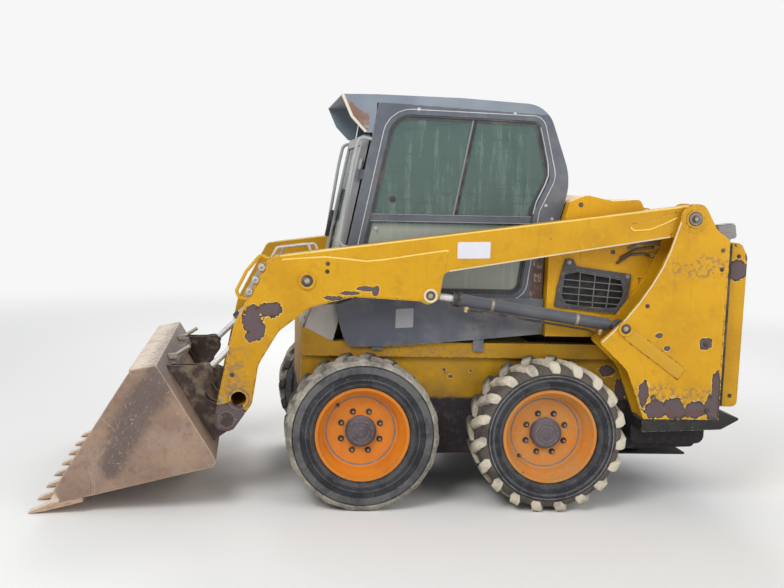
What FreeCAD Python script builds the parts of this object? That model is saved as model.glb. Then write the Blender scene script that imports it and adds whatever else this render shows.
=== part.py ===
import FreeCAD, Part
import math
import os

# Skid steer loader, millimetres.
# X runs from the bucket (minus) to the tailgate (plus), Y from the machine's left side (minus) to its
# right side (plus), Z up from the ground. While it is modelled, X = 0 lies over the front axle; every
# piece is moved at the end so that X = 0 is the middle of the overall length.

# widths that the rest is set out from
TUB_HALF_WIDTH = 400.0
HOUSING_LENGTH = 30.0
WHEEL_GAP = 2.0

# wheels
WHEELBASE = 900.0
TYRE_RADIUS = 366.0
TYRE_INNER_Y = TUB_HALF_WIDTH + HOUSING_LENGTH + WHEEL_GAP
TYRE_WIDTH = 254.0
TYRE_SHOULDER = 34.0
TYRE_SIDES = 16
LUG_COUNT = 19
LUG_DEPTH = 20.0
LUG_WIDTH = 46.0
LUG_FOOT = 54.0
LUG_SLANT = 0.42
RIM_LIP_RADIUS = 226.0
RIM_LIP_STEP = 4.0
RIM_LIP_WIDTH = 24.0
RIM_WALL = 9.0
RIM_WELL_RADIUS = 178.0
RIM_OUTER_Y = TYRE_INNER_Y + 223.0
RIM_INNER_Y = TYRE_INNER_Y + 32.0
DISC_FACE_Y = TYRE_INNER_Y + 135.0
DISC_THICK = 12.0
DISC_STEP_RADIUS = 166.0
HUB_CAP_RADIUS = 73.0
HUB_CAP_HEIGHT = 34.0
AXLE_RADIUS = 55.0
HOUSING_RADIUS = 92.0

# chassis tub
CHAINCASE_WIDTH = 110.0
TUB_FRONT_X = -285.0
TUB_REAR_X = 1722.0
BELLY_Z = 190.0
PLATE = 10.0
TUB_TOP_Z = 712.0
RAIL_HEIGHT = 66.0
RAIL_HALF_WIDTH = TUB_HALF_WIDTH + 28.0
NOSE_TOP_Z = 842.0
FOOT_FLOOR_Z = 430.0
FOOT_WELL_REAR_X = 320.0
REAR_FRAME_FRONT_X = 1352.0
REAR_FRAME_BOTTOM_Z = 300.0
REAR_FRAME_TOP_Z = 1120.0

# uprights that carry the boom
UPRIGHT_PLATE = 18.0
UPRIGHT_INNER_Y = TUB_HALF_WIDTH + 94.0
UPRIGHT_OUTER_Y = UPRIGHT_INNER_Y + 146.0
UPRIGHT_INNER_PLATE = 12.0
UPRIGHT_REAR_X = 1722.0
UPRIGHT_BOTTOM_Z = 454.0
ARCH_RADIUS = 452.0

# boom
PIVOT_X = 1544.0
PIVOT_Z = 1416.0
PIVOT_PIN_RADIUS = 26.0
ARM_INNER_Y = UPRIGHT_INNER_Y + 21.0
ARM_OUTER_Y = ARM_INNER_Y + 98.0
KNEE_PLATE = 5.0
KNEE_PIN_X = -276.0
KNEE_PIN_Z = 1090.0
COUPLER_PIN_X = -643.0
COUPLER_PIN_Z = 425.0
COUPLER_PIN_RADIUS = 22.0
CROSS_TUBE_X = -588.0
CROSS_TUBE_Z = 524.0
CROSS_TUBE_RADIUS = 47.0
CROSS_TUBE_WALL = 10.0
PIN_CLEARANCE = 0.3
SEAT_GAP = 0.3
HOSE_TUBE_RADIUS = 7.0
GUARD_RADIUS = 8.0

# lift cylinders
LIFT_BASE_X = 1241.0
LIFT_BASE_Z = 890.0
LIFT_ROD_X = 308.0
LIFT_ROD_Z = 1030.0
LIFT_Y = UPRIGHT_INNER_Y + 66.0
LIFT_BARREL_RADIUS = 30.0
LIFT_ROD_RADIUS = 17.0
LIFT_BARREL_LENGTH = 826.0
LIFT_BORE_START = 80.0
LIFT_ROD_START = 150.0
LIFT_EYE_RADIUS = 34.0
LIFT_EYE_WIDTH = 44.0
LIFT_PIN_RADIUS = 16.0

# tilt cylinders
TILT_Y = ARM_INNER_Y - 40.0
TILT_BARREL_RADIUS = 32.0
TILT_ROD_RADIUS = 16.0
TILT_BARREL_LENGTH = 478.0
TILT_BORE_START = 62.0
TILT_ROD_START = 206.0
TILT_EYE_RADIUS = 32.0
TILT_EYE_WIDTH = 36.0
TILT_PIN_RADIUS = 15.0
BARREL_NECK = 24.0
TILT_ROD_PIN_DX = -104.0
TILT_ROD_PIN_DZ = 207.0
BRACKET_PLATE = 14.0

# bucket, drawn level about the coupler pin and then tipped nose down
BUCKET_TIP_ANGLE = 14.2
BUCKET_HALF_WIDTH = 740.0
BUCKET_SIDE = 14.0
BUCKET_SHELL = 10.0
BUCKET_FLOOR_DZ = -176.0
BUCKET_EDGE_DX = -820.0
BUCKET_HEEL_DX = -78.0
BUCKET_HEEL_RADIUS = 62.0
BUCKET_BACK_DX = -92.0
BUCKET_BACK_DZ = -113.0
BUCKET_TOP_DX = -244.0
BUCKET_TOP_DZ = 349.0
BUCKET_LIP_DEPTH = 118.0
EDGE_THICK = 18.0
EDGE_DEPTH = 96.0
EDGE_REACH = 88.0
TOOTH_COUNT = 8
TOOTH_LENGTH = 160.0
TOOTH_WIDTH = 56.0
TOOTH_RISE = 12.0
COUPLER_PLATE = 12.0
LEVER_RADIUS = 10.0
LEVER_Y = 315.0

# cab
CAB_HALF_WIDTH = TUB_HALF_WIDTH + 30.0
CAB_FRAME = 42.0
CAB_BOTTOM_Z = 962.0
CAB_TOP_Z = 1976.0
CAB_HEIGHT = CAB_TOP_Z - CAB_BOTTOM_Z
CAB_ROOF = 40.0
CAB_ROOF_END = 78.0
CAB_FRONT_BOTTOM_X = -128.0
CAB_FRONT_TOP_X = 72.0
CAB_PILLAR_TOP_X = CAB_FRONT_TOP_X - 28.0
CAB_REAR_TOP_X = 881.0
CAB_REAR_MID_X = 1012.0
CAB_REAR_LOW_X = 946.0
CAB_REAR_BOTTOM_X = 895.0
CROSS_BAR_Z = CAB_BOTTOM_Z + 0.404 * CAB_HEIGHT
CROSS_BAR_HEIGHT = 30.0
VISOR_FRONT_X = -124.0
GLASS = 6.0
GLASS_GAP = 0.3
DOOR_THICK = 34.0
DOOR_GAP = 6.0
DOOR_HALF_WIDTH = CAB_HALF_WIDTH - 58.0
DOOR_FRAME = 46.0
DOOR_TOP_DROP = 190.0
DOOR_HINGE_OFFSET = 24.0
DOOR_HINGE_Y = CAB_HALF_WIDTH - 41.0
GRAB_BAR_RADIUS = 9.0
GRAB_BAR_INSET = 10.0
SEAT_WIDTH = 440.0
BAR_PIVOT_X = CAB_REAR_BOTTOM_X - 33.0
BAR_PIVOT_Z = CAB_BOTTOM_Z + 0.363 * CAB_HEIGHT
PANEL_Y = CAB_HALF_WIDTH + 20.0
PANEL_PLATE = 8.0

# engine, hood, tail
ENGINE_HALF_WIDTH = 230.0
HOOD_HALF_WIDTH = UPRIGHT_INNER_Y - 14.0
HOOD_PLATE = 8.0
HOOD_CAB_GAP = 9.0
HOOD_REAR_X = 1712.0
HOOD_BOTTOM_Z = 826.0
HOOD_TOP_Z = 1505.0
HOOD_REAR_Z = 1306.0
SCREEN_HINGE_X = 1372.0
SCREEN_HINGE_Z = 1440.0
SCREEN_LENGTH = 350.0
SCREEN_HALF_WIDTH = HOOD_HALF_WIDTH - 25.0
SCREEN_THICK = 26.0
SCREEN_SLOTS = 5
GRILLE_THICK = 12.0
GRILLE_BAR = 7.0
GRILLE_COLUMNS = 4
GRILLE_ROWS = 4
TAILGATE_FRONT_X = 1746.0
TAILGATE_REAR_X = 1842.0
TAILGATE_HALF_WIDTH = UPRIGHT_OUTER_Y - 65.0
TAILGATE_BOTTOM_Z = 506.0
TAILGATE_TOP_Z = 1304.0
TAILGATE_WALL = 8.0
TAILGATE_SLOTS = 7
HINGE_RADIUS = 11.0
HINGE_HEIGHT = 50.0
BUMPER_HALF_WIDTH = UPRIGHT_OUTER_Y - 10.0

DOOR_HINGES_Z = (CAB_BOTTOM_Z + 0.116 * CAB_HEIGHT, CAB_BOTTOM_Z + 0.649 * CAB_HEIGHT)
TAILGATE_HINGES_Z = (700.0, 1150.0)

LEFT = -1.0
RIGHT = 1.0
SIDES = (("left", LEFT), ("right", RIGHT))

V = FreeCAD.Vector


def box(x0, x1, y0, y1, z0, z1):
    """A box between two corners, given in any order."""
    xa, xb = sorted((x0, x1))
    ya, yb = sorted((y0, y1))
    za, zb = sorted((z0, z1))
    return Part.makeBox(xb - xa, yb - ya, zb - za, V(xa, ya, za))


def bar_y(x, z, radius, y0, y1):
    """A round bar along Y."""
    ya, yb = sorted((y0, y1))
    return Part.makeCylinder(radius, yb - ya, V(x, ya, z), V(0, 1, 0))


def rod(start, end, radius):
    """A round bar between two points."""
    a = V(*start)
    b = V(*end)
    return Part.makeCylinder(radius, (b - a).Length, a, b - a)


def rounded_face(corners, y):
    """A face in the XZ plane at y. Each corner is x, z and the radius that rounds it."""
    count = len(corners)
    ends = []
    for i in range(count):
        x, z, radius = corners[i]
        point = V(x, y, z)
        before = V(corners[i - 1][0], y, corners[i - 1][1]) - point
        after = V(corners[(i + 1) % count][0], y, corners[(i + 1) % count][1]) - point
        before_length = before.Length
        after_length = after.Length
        before.normalize()
        after.normalize()
        half = before.getAngle(after) / 2.0
        if radius < 0.01 or half > math.pi / 2.0 - 0.005:
            ends.append((point, None, point))
            continue
        run = min(radius / math.tan(half), 0.49 * before_length, 0.49 * after_length)
        radius = run * math.tan(half)
        middle = before + after
        middle.normalize()
        centre = point + middle * (radius / math.sin(half))
        ends.append((point + before * run, centre - middle * radius, point + after * run))
    edges = []
    for i in range(count):
        start, mid, end = ends[i]
        if mid is not None:
            edges.append(Part.Arc(start, mid, end).toShape())
        following = ends[(i + 1) % count][0]
        if (following - end).Length > 0.001:
            edges.append(Part.LineSegment(end, following).toShape())
    return Part.Face(Part.Wire(edges))


def plate(corners, y0, y1):
    """A plate with a rounded XZ outline between two Y planes."""
    ya, yb = sorted((y0, y1))
    return rounded_face(corners, ya).extrude(V(0, yb - ya, 0))


def inset(corners, distance):
    """The corners of an outline moved inwards by a distance, for ribs and openings."""
    area = 0.0
    count = len(corners)
    for i in range(count):
        x0, z0, r0 = corners[i]
        x1, z1, r1 = corners[(i + 1) % count]
        area += x0 * z1 - x1 * z0
    turn = 1.0 if area > 0 else -1.0
    moved = []
    for i in range(count):
        x, z, radius = corners[i]
        xp, zp, rp = corners[i - 1]
        xn, zn, rn = corners[(i + 1) % count]
        a = V(x - xp, z - zp, 0)
        b = V(xn - x, zn - z, 0)
        a.normalize()
        b.normalize()
        na = V(-a.y, a.x, 0) * turn
        nb = V(-b.y, b.x, 0) * turn
        share = distance / (1.0 + na.dot(nb))
        moved.append((x + (na.x + nb.x) * share, z + (na.y + nb.y) * share, max(radius - distance, 0.0)))
    return moved


def fuse(shapes):
    """One solid from shapes that overlap or touch."""
    result = shapes[0]
    if len(shapes) > 1:
        result = shapes[0].fuse(shapes[1:])
    return result.removeSplitter()


def ring(profile, axis_x, axis_z):
    """A solid of revolution about a Y axis. The profile is a list of (y, radius)."""
    points = [V(axis_x, y, axis_z + radius) for y, radius in profile]
    face = Part.Face(Part.makePolygon(points + [points[0]]))
    return face.revolve(V(axis_x, 0, axis_z), V(0, 1, 0), 360)


def mirrored(shape, side):
    """Pieces are drawn on the right side; the left one is the mirror image."""
    if side == RIGHT:
        return shape
    return shape.mirror(V(0, 0, 0), V(0, 1, 0))


# wheels

def tyre(axle_x):
    """Flat-sided casing that seats on the rim, with a slanting lug on each shoulder in turn."""
    inner = TYRE_INNER_Y
    outer = TYRE_INNER_Y + TYRE_WIDTH
    tread = TYRE_RADIUS - LUG_DEPTH
    flat = math.cos(math.pi / TYRE_SIDES)
    bead = (RIM_LIP_RADIUS - RIM_LIP_STEP) / flat
    over_lip = (RIM_LIP_RADIUS + SEAT_GAP) / flat
    lip_start = RIM_OUTER_Y - RIM_LIP_WIDTH - SEAT_GAP
    profile = [(inner + 34.0, bead), (inner, bead + 66.0), (inner + TYRE_SHOULDER, tread),
               (outer - TYRE_SHOULDER, tread), (outer, bead + 66.0), (outer - 34.0, over_lip),
               (lip_start, over_lip), (lip_start, bead)]
    shapes = [flat_ring(profile, axle_x)]
    pitch = 360.0 / LUG_COUNT
    for i in range(LUG_COUNT):
        shapes.append(tyre_lug(axle_x, outer, 1.0, pitch * i))
        shapes.append(tyre_lug(axle_x, inner, -1.0, pitch * (i + 0.5)))
    return fuse(shapes)


def round_axle(axle_x, y, radius, turn):
    """The point at a radius and an angle round a wheel's axle."""
    return V(axle_x + radius * math.sin(turn), y, TYRE_RADIUS + radius * math.cos(turn))


def closed_solid(faces):
    """The solid inside a closed set of flat faces."""
    solid = Part.Solid(Part.Shell(faces))
    if solid.Volume < 0:
        solid.reverse()
    return solid


def flat_ring(profile, axle_x):
    """A ring about a wheel's axle with flat sides. The profile is a closed list of (y, radius)."""
    rows = []
    for y, radius in profile:
        turns = [2.0 * math.pi * i / TYRE_SIDES for i in range(TYRE_SIDES)]
        rows.append([round_axle(axle_x, y, radius, turn) for turn in turns])
    faces = []
    for k in range(len(rows)):
        first = rows[k]
        second = rows[(k + 1) % len(rows)]
        for i in range(TYRE_SIDES):
            j = (i + 1) % TYRE_SIDES
            faces.append(Part.Face(Part.makePolygon([first[i], first[j], second[j], second[i], first[i]])))
    return closed_solid(faces)


def tyre_lug(axle_x, wall_y, out, turn):
    """A lug from the middle of the tread over one shoulder, slanting back towards the side wall."""
    tread = TYRE_RADIUS - LUG_DEPTH
    middle = TYRE_INNER_Y + TYRE_WIDTH / 2.0
    table = [(middle - out * 4.0, tread - 8.0), (middle + out * 4.0, TYRE_RADIUS),
             (wall_y - out * 20.0, TYRE_RADIUS), (wall_y, TYRE_RADIUS - LUG_FOOT)]
    if out > 0:
        table.insert(3, (wall_y, TYRE_RADIUS - 24.0))
    edges = []
    for side in (-1.0, 1.0):
        edge = []
        for y, radius in table:
            x = side * LUG_WIDTH / 2.0 - LUG_SLANT * abs(wall_y - y)
            edge.append(V(axle_x + x, y, TYRE_RADIUS + math.sqrt(radius * radius - x * x)))
        edges.append(edge)
    faces = [Part.Face(Part.makePolygon(edge + [edge[0]])) for edge in edges]
    for k in range(len(table)):
        j = (k + 1) % len(table)
        corners = (edges[0][k], edges[0][j], edges[1][j], edges[1][k])
        faces.append(Part.Face(Part.makePolygon([corners[0], corners[1], corners[2], corners[0]])))
        faces.append(Part.Face(Part.makePolygon([corners[0], corners[2], corners[3], corners[0]])))
    lug = closed_solid(faces)
    lug.rotate(V(axle_x, 0, TYRE_RADIUS), V(0, 1, 0), turn)
    return lug


def rim(axle_x):
    """Rim, disc, hub cap and axle stub turn as one welded and bolted piece."""
    lip = RIM_LIP_RADIUS
    seat = RIM_LIP_RADIUS - RIM_LIP_STEP - SEAT_GAP
    well = RIM_WELL_RADIUS
    wall = RIM_WALL
    face = DISC_FACE_Y
    band = ring([(RIM_INNER_Y, lip - 16.0), (RIM_INNER_Y, seat), (RIM_OUTER_Y - RIM_LIP_WIDTH, seat),
                 (RIM_OUTER_Y - RIM_LIP_WIDTH, lip), (RIM_OUTER_Y, lip), (RIM_OUTER_Y, lip - 14.0),
                 (RIM_OUTER_Y - 20.0, lip - 22.0), (face + 34.0, well + wall), (face + 4.0, well),
                 (face, DISC_STEP_RADIUS), (face, 40.0), (face - DISC_THICK, 40.0),
                 (face - DISC_THICK, DISC_STEP_RADIUS + 6.0), (face - 30.0, well),
                 (RIM_INNER_Y + 20.0, well + 6.0)], axle_x, TYRE_RADIUS)
    cap = face + HUB_CAP_HEIGHT
    hub = ring([(face - DISC_THICK - 1.0, 0.0), (face - DISC_THICK - 1.0, HUB_CAP_RADIUS),
                (cap - 10.0, HUB_CAP_RADIUS), (cap, HUB_CAP_RADIUS - 16.0), (cap, 0.0)],
               axle_x, TYRE_RADIUS)
    stub_end = TUB_HALF_WIDTH + HOUSING_LENGTH + PIN_CLEARANCE
    stub = bar_y(axle_x, TYRE_RADIUS, AXLE_RADIUS, stub_end, face - DISC_THICK)
    flange = bar_y(axle_x, TYRE_RADIUS, AXLE_RADIUS + 45.0, face - DISC_THICK - 16.0, face - DISC_THICK)
    return fuse([band, hub, stub, flange])


def axle_housings():
    """A housing with its bolted flange on each chain case, one for each wheel."""
    shapes = []
    for axle_x in (0.0, WHEELBASE):
        for name, side in SIDES:
            start = side * (TUB_HALF_WIDTH)
            end = side * (TUB_HALF_WIDTH + HOUSING_LENGTH)
            shapes.append(bar_y(axle_x, TYRE_RADIUS, HOUSING_RADIUS - 18.0, start, end))
            flange_end = side * (TUB_HALF_WIDTH + 12.0)
            shapes.append(bar_y(axle_x, TYRE_RADIUS, HOUSING_RADIUS, start, flange_end))
    pairs = [fuse(shapes[i:i + 2]) for i in range(0, len(shapes), 2)]
    return Part.makeCompound(pairs)


# chassis

def main_frame():
    """Welded tub: two chain cases, belly, nose, foot floor, rear side frames and top rails."""
    shapes = []
    inner = TUB_HALF_WIDTH - CHAINCASE_WIDTH
    rail_top = TUB_TOP_Z + RAIL_HEIGHT
    for name, side in SIDES:
        case = [(TUB_FRONT_X, BELLY_Z, 30), (TUB_REAR_X, BELLY_Z + 70.0, 30), (TUB_REAR_X, TUB_TOP_Z, 20),
                (TUB_FRONT_X, TUB_TOP_Z, 20)]
        shapes.append(plate(case, side * inner, side * TUB_HALF_WIDTH))
        rail = [(TUB_FRONT_X, TUB_TOP_Z - 6.0, 6), (REAR_FRAME_FRONT_X, TUB_TOP_Z - 6.0, 6),
                (REAR_FRAME_FRONT_X, rail_top, 6), (TUB_FRONT_X, rail_top, 6)]
        shapes.append(plate(rail, side * (inner + 60.0), side * RAIL_HALF_WIDTH))
        tail = [(REAR_FRAME_FRONT_X, REAR_FRAME_BOTTOM_Z, 40), (TUB_REAR_X, REAR_FRAME_BOTTOM_Z, 40),
                (TUB_REAR_X, REAR_FRAME_TOP_Z, 20), (REAR_FRAME_FRONT_X, REAR_FRAME_TOP_Z, 20)]
        tail_inner = HOOD_HALF_WIDTH - HOOD_PLATE - 2.0 * PLATE
        shapes.append(plate(tail, side * tail_inner, side * UPRIGHT_INNER_Y))
        for x in (REAR_FRAME_FRONT_X, TUB_REAR_X - PLATE):
            shapes.append(box(x, x + PLATE, side * inner, side * UPRIGHT_INNER_Y,
                              REAR_FRAME_BOTTOM_Z + 30.0, TUB_TOP_Z - 30.0))
        cheek = [(TUB_FRONT_X, TUB_TOP_Z, 0), (TUB_FRONT_X + 150.0, TUB_TOP_Z, 0),
                 (TUB_FRONT_X + 150.0, rail_top, 30), (TUB_FRONT_X + 20.0, NOSE_TOP_Z, 20),
                 (TUB_FRONT_X, NOSE_TOP_Z, 0)]
        shapes.append(plate(cheek, side * (TUB_HALF_WIDTH - PLATE), side * RAIL_HALF_WIDTH))
    shapes.append(box(TUB_FRONT_X + 20.0, TUB_REAR_X, -inner, inner, BELLY_Z, BELLY_Z + PLATE))
    shapes.append(box(TUB_FRONT_X, TUB_FRONT_X + PLATE, -TUB_HALF_WIDTH, TUB_HALF_WIDTH, BELLY_Z + 20.0,
                      NOSE_TOP_Z))
    shapes.append(box(TUB_FRONT_X, FOOT_WELL_REAR_X, -inner, inner, FOOT_FLOOR_Z, FOOT_FLOOR_Z + PLATE))
    shapes.append(box(FOOT_WELL_REAR_X, FOOT_WELL_REAR_X + PLATE, -inner, inner, BELLY_Z, rail_top))
    shapes.append(box(FOOT_WELL_REAR_X, FOOT_WELL_REAR_X + 540.0, -inner - 70.0, inner + 70.0,
                      rail_top - PLATE, rail_top))
    return fuse(shapes)


def upright_outline():
    return [(1508.0, 1486.0, 40), (1590.0, 1486.0, 50), (1655.0, 1368.0, 40), (UPRIGHT_REAR_X, 1318.0, 18),
            (UPRIGHT_REAR_X, UPRIGHT_BOTTOM_Z, 10), (1353.0, UPRIGHT_BOTTOM_Z, 10), (1320.0, 540.0, 60),
            (1262.0, 690.0, 120), (1120.0, 822.0, 16), (1240.0, 934.0, 90), (1362.0, 1103.0, 120),
            (1440.0, 1270.0, 90)]


def upright(side):
    """Outer plate, inner plate and the web plates that join them, with both pins."""
    outline = upright_outline()
    outer = plate(outline, UPRIGHT_OUTER_Y - UPRIGHT_PLATE, UPRIGHT_OUTER_Y)
    inner = plate(outline, UPRIGHT_INNER_Y, UPRIGHT_INNER_Y + UPRIGHT_INNER_PLATE)
    arch = bar_y(WHEELBASE, TYRE_RADIUS, ARCH_RADIUS, UPRIGHT_INNER_Y - 1.0, UPRIGHT_OUTER_Y + 1.0)
    rear_web = box(UPRIGHT_REAR_X - PLATE, UPRIGHT_REAR_X, UPRIGHT_INNER_Y, UPRIGHT_OUTER_Y,
                   UPRIGHT_BOTTOM_Z, 1180.0)
    foot = box(1360.0, UPRIGHT_REAR_X, UPRIGHT_INNER_Y, UPRIGHT_OUTER_Y, UPRIGHT_BOTTOM_Z,
               UPRIGHT_BOTTOM_Z + PLATE)
    pivot = bar_y(PIVOT_X, PIVOT_Z, PIVOT_PIN_RADIUS, UPRIGHT_INNER_Y - 6.0, UPRIGHT_OUTER_Y + 10.0)
    cap = bar_y(PIVOT_X, PIVOT_Z, 42.0, UPRIGHT_OUTER_Y, UPRIGHT_OUTER_Y + 10.0)
    base = bar_y(LIFT_BASE_X, LIFT_BASE_Z, LIFT_PIN_RADIUS, UPRIGHT_INNER_Y, UPRIGHT_OUTER_Y + 8.0)
    boss = bar_y(LIFT_BASE_X, LIFT_BASE_Z, 36.0, UPRIGHT_OUTER_Y, UPRIGHT_OUTER_Y + 8.0)
    rib = plate([(1270.0, 894.0, 8), (1540.0, 700.0, 8), (1505.0, 652.0, 8), (1235.0, 846.0, 8)],
                UPRIGHT_OUTER_Y - 2.0, UPRIGHT_OUTER_Y + 6.0)
    solid = fuse([outer, inner, rear_web, foot, pivot, cap, base, boss, rib])
    return mirrored(solid.cut(arch), side)


def engine_block():
    """Engine as one plain block on two bearers that stand on the belly plate."""
    low = BELLY_Z + 140.0
    half = ENGINE_HALF_WIDTH
    shapes = [box(980.0, 1560.0, -half, half, low, 1050.0)]
    for x in (1040.0, 1440.0):
        shapes.append(box(x, x + 60.0, -half, half, BELLY_Z + PLATE, low))
    return fuse(shapes)


def cab_back_x(z):
    """How far back the cab's rear wall reaches at height z, before its corners are rounded."""
    corners = [(x, height) for x, height, radius in cab_outline() if x >= CAB_REAR_TOP_X]
    corners.sort(key=lambda corner: corner[1])
    for (x0, z0), (x1, z1) in zip(corners, corners[1:]):
        if z0 <= z <= z1:
            return x0 + (x1 - x0) * (z - z0) / (z1 - z0)
    return CAB_REAR_BOTTOM_X


def hood_outline():
    """The hood from the side. Its front wall follows the cab's rear wall at a gap."""
    step_x = REAR_FRAME_FRONT_X - SEAT_GAP
    step_z = REAR_FRAME_TOP_Z + SEAT_GAP
    front_top = HOOD_TOP_Z - 20.0
    outline = [(cab_back_x(HOOD_BOTTOM_Z) + HOOD_CAB_GAP, HOOD_BOTTOM_Z, 0), (step_x, HOOD_BOTTOM_Z, 0),
               (step_x, step_z, 0), (HOOD_REAR_X, step_z, 0), (HOOD_REAR_X, HOOD_REAR_Z, 0),
               (SCREEN_HINGE_X, SCREEN_HINGE_Z, 0), (1340.0, HOOD_TOP_Z - 5.0, 24),
               (1210.0, HOOD_TOP_Z - 16.0, 60), (1080.0, HOOD_TOP_Z + 12.0, 60),
               (cab_back_x(front_top) + HOOD_CAB_GAP, front_top, 40)]
    for x, z, radius in cab_outline():
        if x >= CAB_REAR_BOTTOM_X and CAB_BOTTOM_Z < z < front_top - 60.0:
            outline.append((x + HOOD_CAB_GAP, z, 40))
    return outline


def engine_hood():
    """Folded hood: side walls, a front wall behind the cab and the top, open below and over the cooler."""
    outline = hood_outline()
    solid = plate(outline, -HOOD_HALF_WIDTH, HOOD_HALF_WIDTH)
    inner = inset(outline, HOOD_PLATE)
    core = plate(inner, -HOOD_HALF_WIDTH + HOOD_PLATE, HOOD_HALF_WIDTH - HOOD_PLATE)
    low_front = outline[0][0] + HOOD_PLATE
    open_below = box(low_front, HOOD_REAR_X, -HOOD_HALF_WIDTH + HOOD_PLATE,
                     HOOD_HALF_WIDTH - HOOD_PLATE, HOOD_BOTTOM_Z - 1.0, HOOD_BOTTOM_Z + 20.0)
    open_behind = box(REAR_FRAME_FRONT_X + HOOD_PLATE, HOOD_REAR_X + 28.0, -HOOD_HALF_WIDTH + HOOD_PLATE,
                      HOOD_HALF_WIDTH - HOOD_PLATE, REAR_FRAME_TOP_Z - 10.0, SCREEN_HINGE_Z - 20.0)
    front = SCREEN_HINGE_X + 12.0
    back = HOOD_REAR_X - 12.0
    open_top = plate([(front, SCREEN_HINGE_Z - 48.0, 0), (back, HOOD_REAR_Z - 38.0, 0),
                      (back, HOOD_TOP_Z, 0), (front, HOOD_TOP_Z, 0)],
                     -SCREEN_HALF_WIDTH + 12.0, SCREEN_HALF_WIDTH - 12.0)
    open_step = box(REAR_FRAME_FRONT_X - 2.0 * HOOD_PLATE, REAR_FRAME_FRONT_X + 2.0 * HOOD_PLATE,
                    -HOOD_HALF_WIDTH + HOOD_PLATE, HOOD_HALF_WIDTH - HOOD_PLATE, HOOD_BOTTOM_Z - 1.0,
                    REAR_FRAME_TOP_Z + 2.0 * HOOD_PLATE)
    solid = solid.cut(core).cut(open_below).cut(open_behind).cut(open_top).cut(open_step)
    for name, side in SIDES:
        window = plate(inset(grille_corners(), 14.0), side * (HOOD_HALF_WIDTH - 20.0),
                       side * (HOOD_HALF_WIDTH + 20.0))
        solid = solid.cut(window)
    return solid


def grille_corners():
    return [(975.0, 1202.0, 10), (1312.0, 1132.0, 10), (1277.0, 947.0, 10), (938.0, 974.0, 10)]


def grid_point(corners, u, w):
    """A point inside four corners, u along the rows and w down the columns."""
    top_x = corners[0][0] + (corners[1][0] - corners[0][0]) * u
    top_z = corners[0][1] + (corners[1][1] - corners[0][1]) * u
    low_x = corners[3][0] + (corners[2][0] - corners[3][0]) * u
    low_z = corners[3][1] + (corners[2][1] - corners[3][1]) * u
    return top_x + (low_x - top_x) * w, top_z + (low_z - top_z) * w


def side_grille(side):
    """Frame with crossed bars over the side air intake."""
    y0 = HOOD_HALF_WIDTH
    y1 = HOOD_HALF_WIDTH + GRILLE_THICK
    corners = grille_corners()
    shapes = [plate(corners, y0, y1).cut(plate(inset(corners, 26.0), y0 - 1.0, y1 + 1.0))]
    opening = inset(corners, 24.0)
    half = GRILLE_BAR / 2.0
    for column in range(1, GRILLE_COLUMNS):
        u = column / GRILLE_COLUMNS
        xa, za = grid_point(opening, u, 0.0)
        xb, zb = grid_point(opening, u, 1.0)
        shapes.append(plate([(xa - half, za, 0), (xa + half, za, 0), (xb + half, zb, 0), (xb - half, zb, 0)],
                            y0 + 2.0, y1 - 2.0))
    for row in range(1, GRILLE_ROWS):
        w = row / GRILLE_ROWS
        xa, za = grid_point(opening, 0.0, w)
        xb, zb = grid_point(opening, 1.0, w)
        shapes.append(plate([(xa, za - half, 0), (xb, zb - half, 0), (xb, zb + half, 0), (xa, za + half, 0)],
                            y0 + 2.0, y1 - 2.0))
    return mirrored(fuse(shapes), side)


def bumper():
    """Rear bumper: folded plate under the tailgate with two mounting legs."""
    low = UPRIGHT_BOTTOM_Z
    outline = [(REAR_FRAME_FRONT_X, low - 66.0, 10), (REAR_FRAME_FRONT_X, low - 6.0, 4),
               (TUB_REAR_X, low - 6.0, 4), (TUB_REAR_X + 4.0, low + 42.0, 4),
               (TAILGATE_REAR_X - 6.0, low + 4.0, 8), (TUB_REAR_X + 18.0, low - 50.0, 20)]
    body = plate(outline, -BUMPER_HALF_WIDTH, BUMPER_HALF_WIDTH)
    core = box(REAR_FRAME_FRONT_X - 7.0, TUB_REAR_X, -UPRIGHT_INNER_Y, UPRIGHT_INNER_Y, low - 154.0,
               low + 46.0)
    return body.cut(core)


def tail_lamps():
    """A lamp pod on the rear of each upright."""
    shapes = []
    outer = UPRIGHT_OUTER_Y
    for name, side in SIDES:
        pod = plate([(1672.0, 1350.0, 4), (1676.0, 1386.0, 8), (1752.0, 1396.0, 10), (1762.0, 1330.0, 10),
                     (1724.0, 1322.0, 4)], side * (outer - 95.0), side * (outer - 25.0))
        post = plate([(1690.0, 1352.0, 0), (1740.0, 1352.0, 0), (1722.0, 1290.0, 0), (1700.0, 1290.0, 0)],
                     side * (outer - 40.0), side * (outer - UPRIGHT_PLATE))
        shapes.append(fuse([pod, post]))
    return Part.makeCompound(shapes)


def side_panel(side):
    """Lower side cover between the cab and the rail, with its two fixing feet."""
    outline = [(-132.0, 958.0, 10), (-10.0, 1000.0, 40), (100.0, 1006.0, 40), (898.0, 1006.0, 6),
               (898.0, 832.0, 6), (393.0, 782.0, 200), (150.0, 762.0, 80), (-52.0, 756.0, 20),
               (-84.0, 800.0, 20)]
    shapes = [plate(outline, PANEL_Y - PANEL_PLATE, PANEL_Y)]
    for x in (60.0, 560.0):
        shapes.append(box(x, x + 50.0, RAIL_HALF_WIDTH, PANEL_Y - PANEL_PLATE, 740.0, 860.0))
    return mirrored(fuse(shapes), side)


# boom

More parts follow.
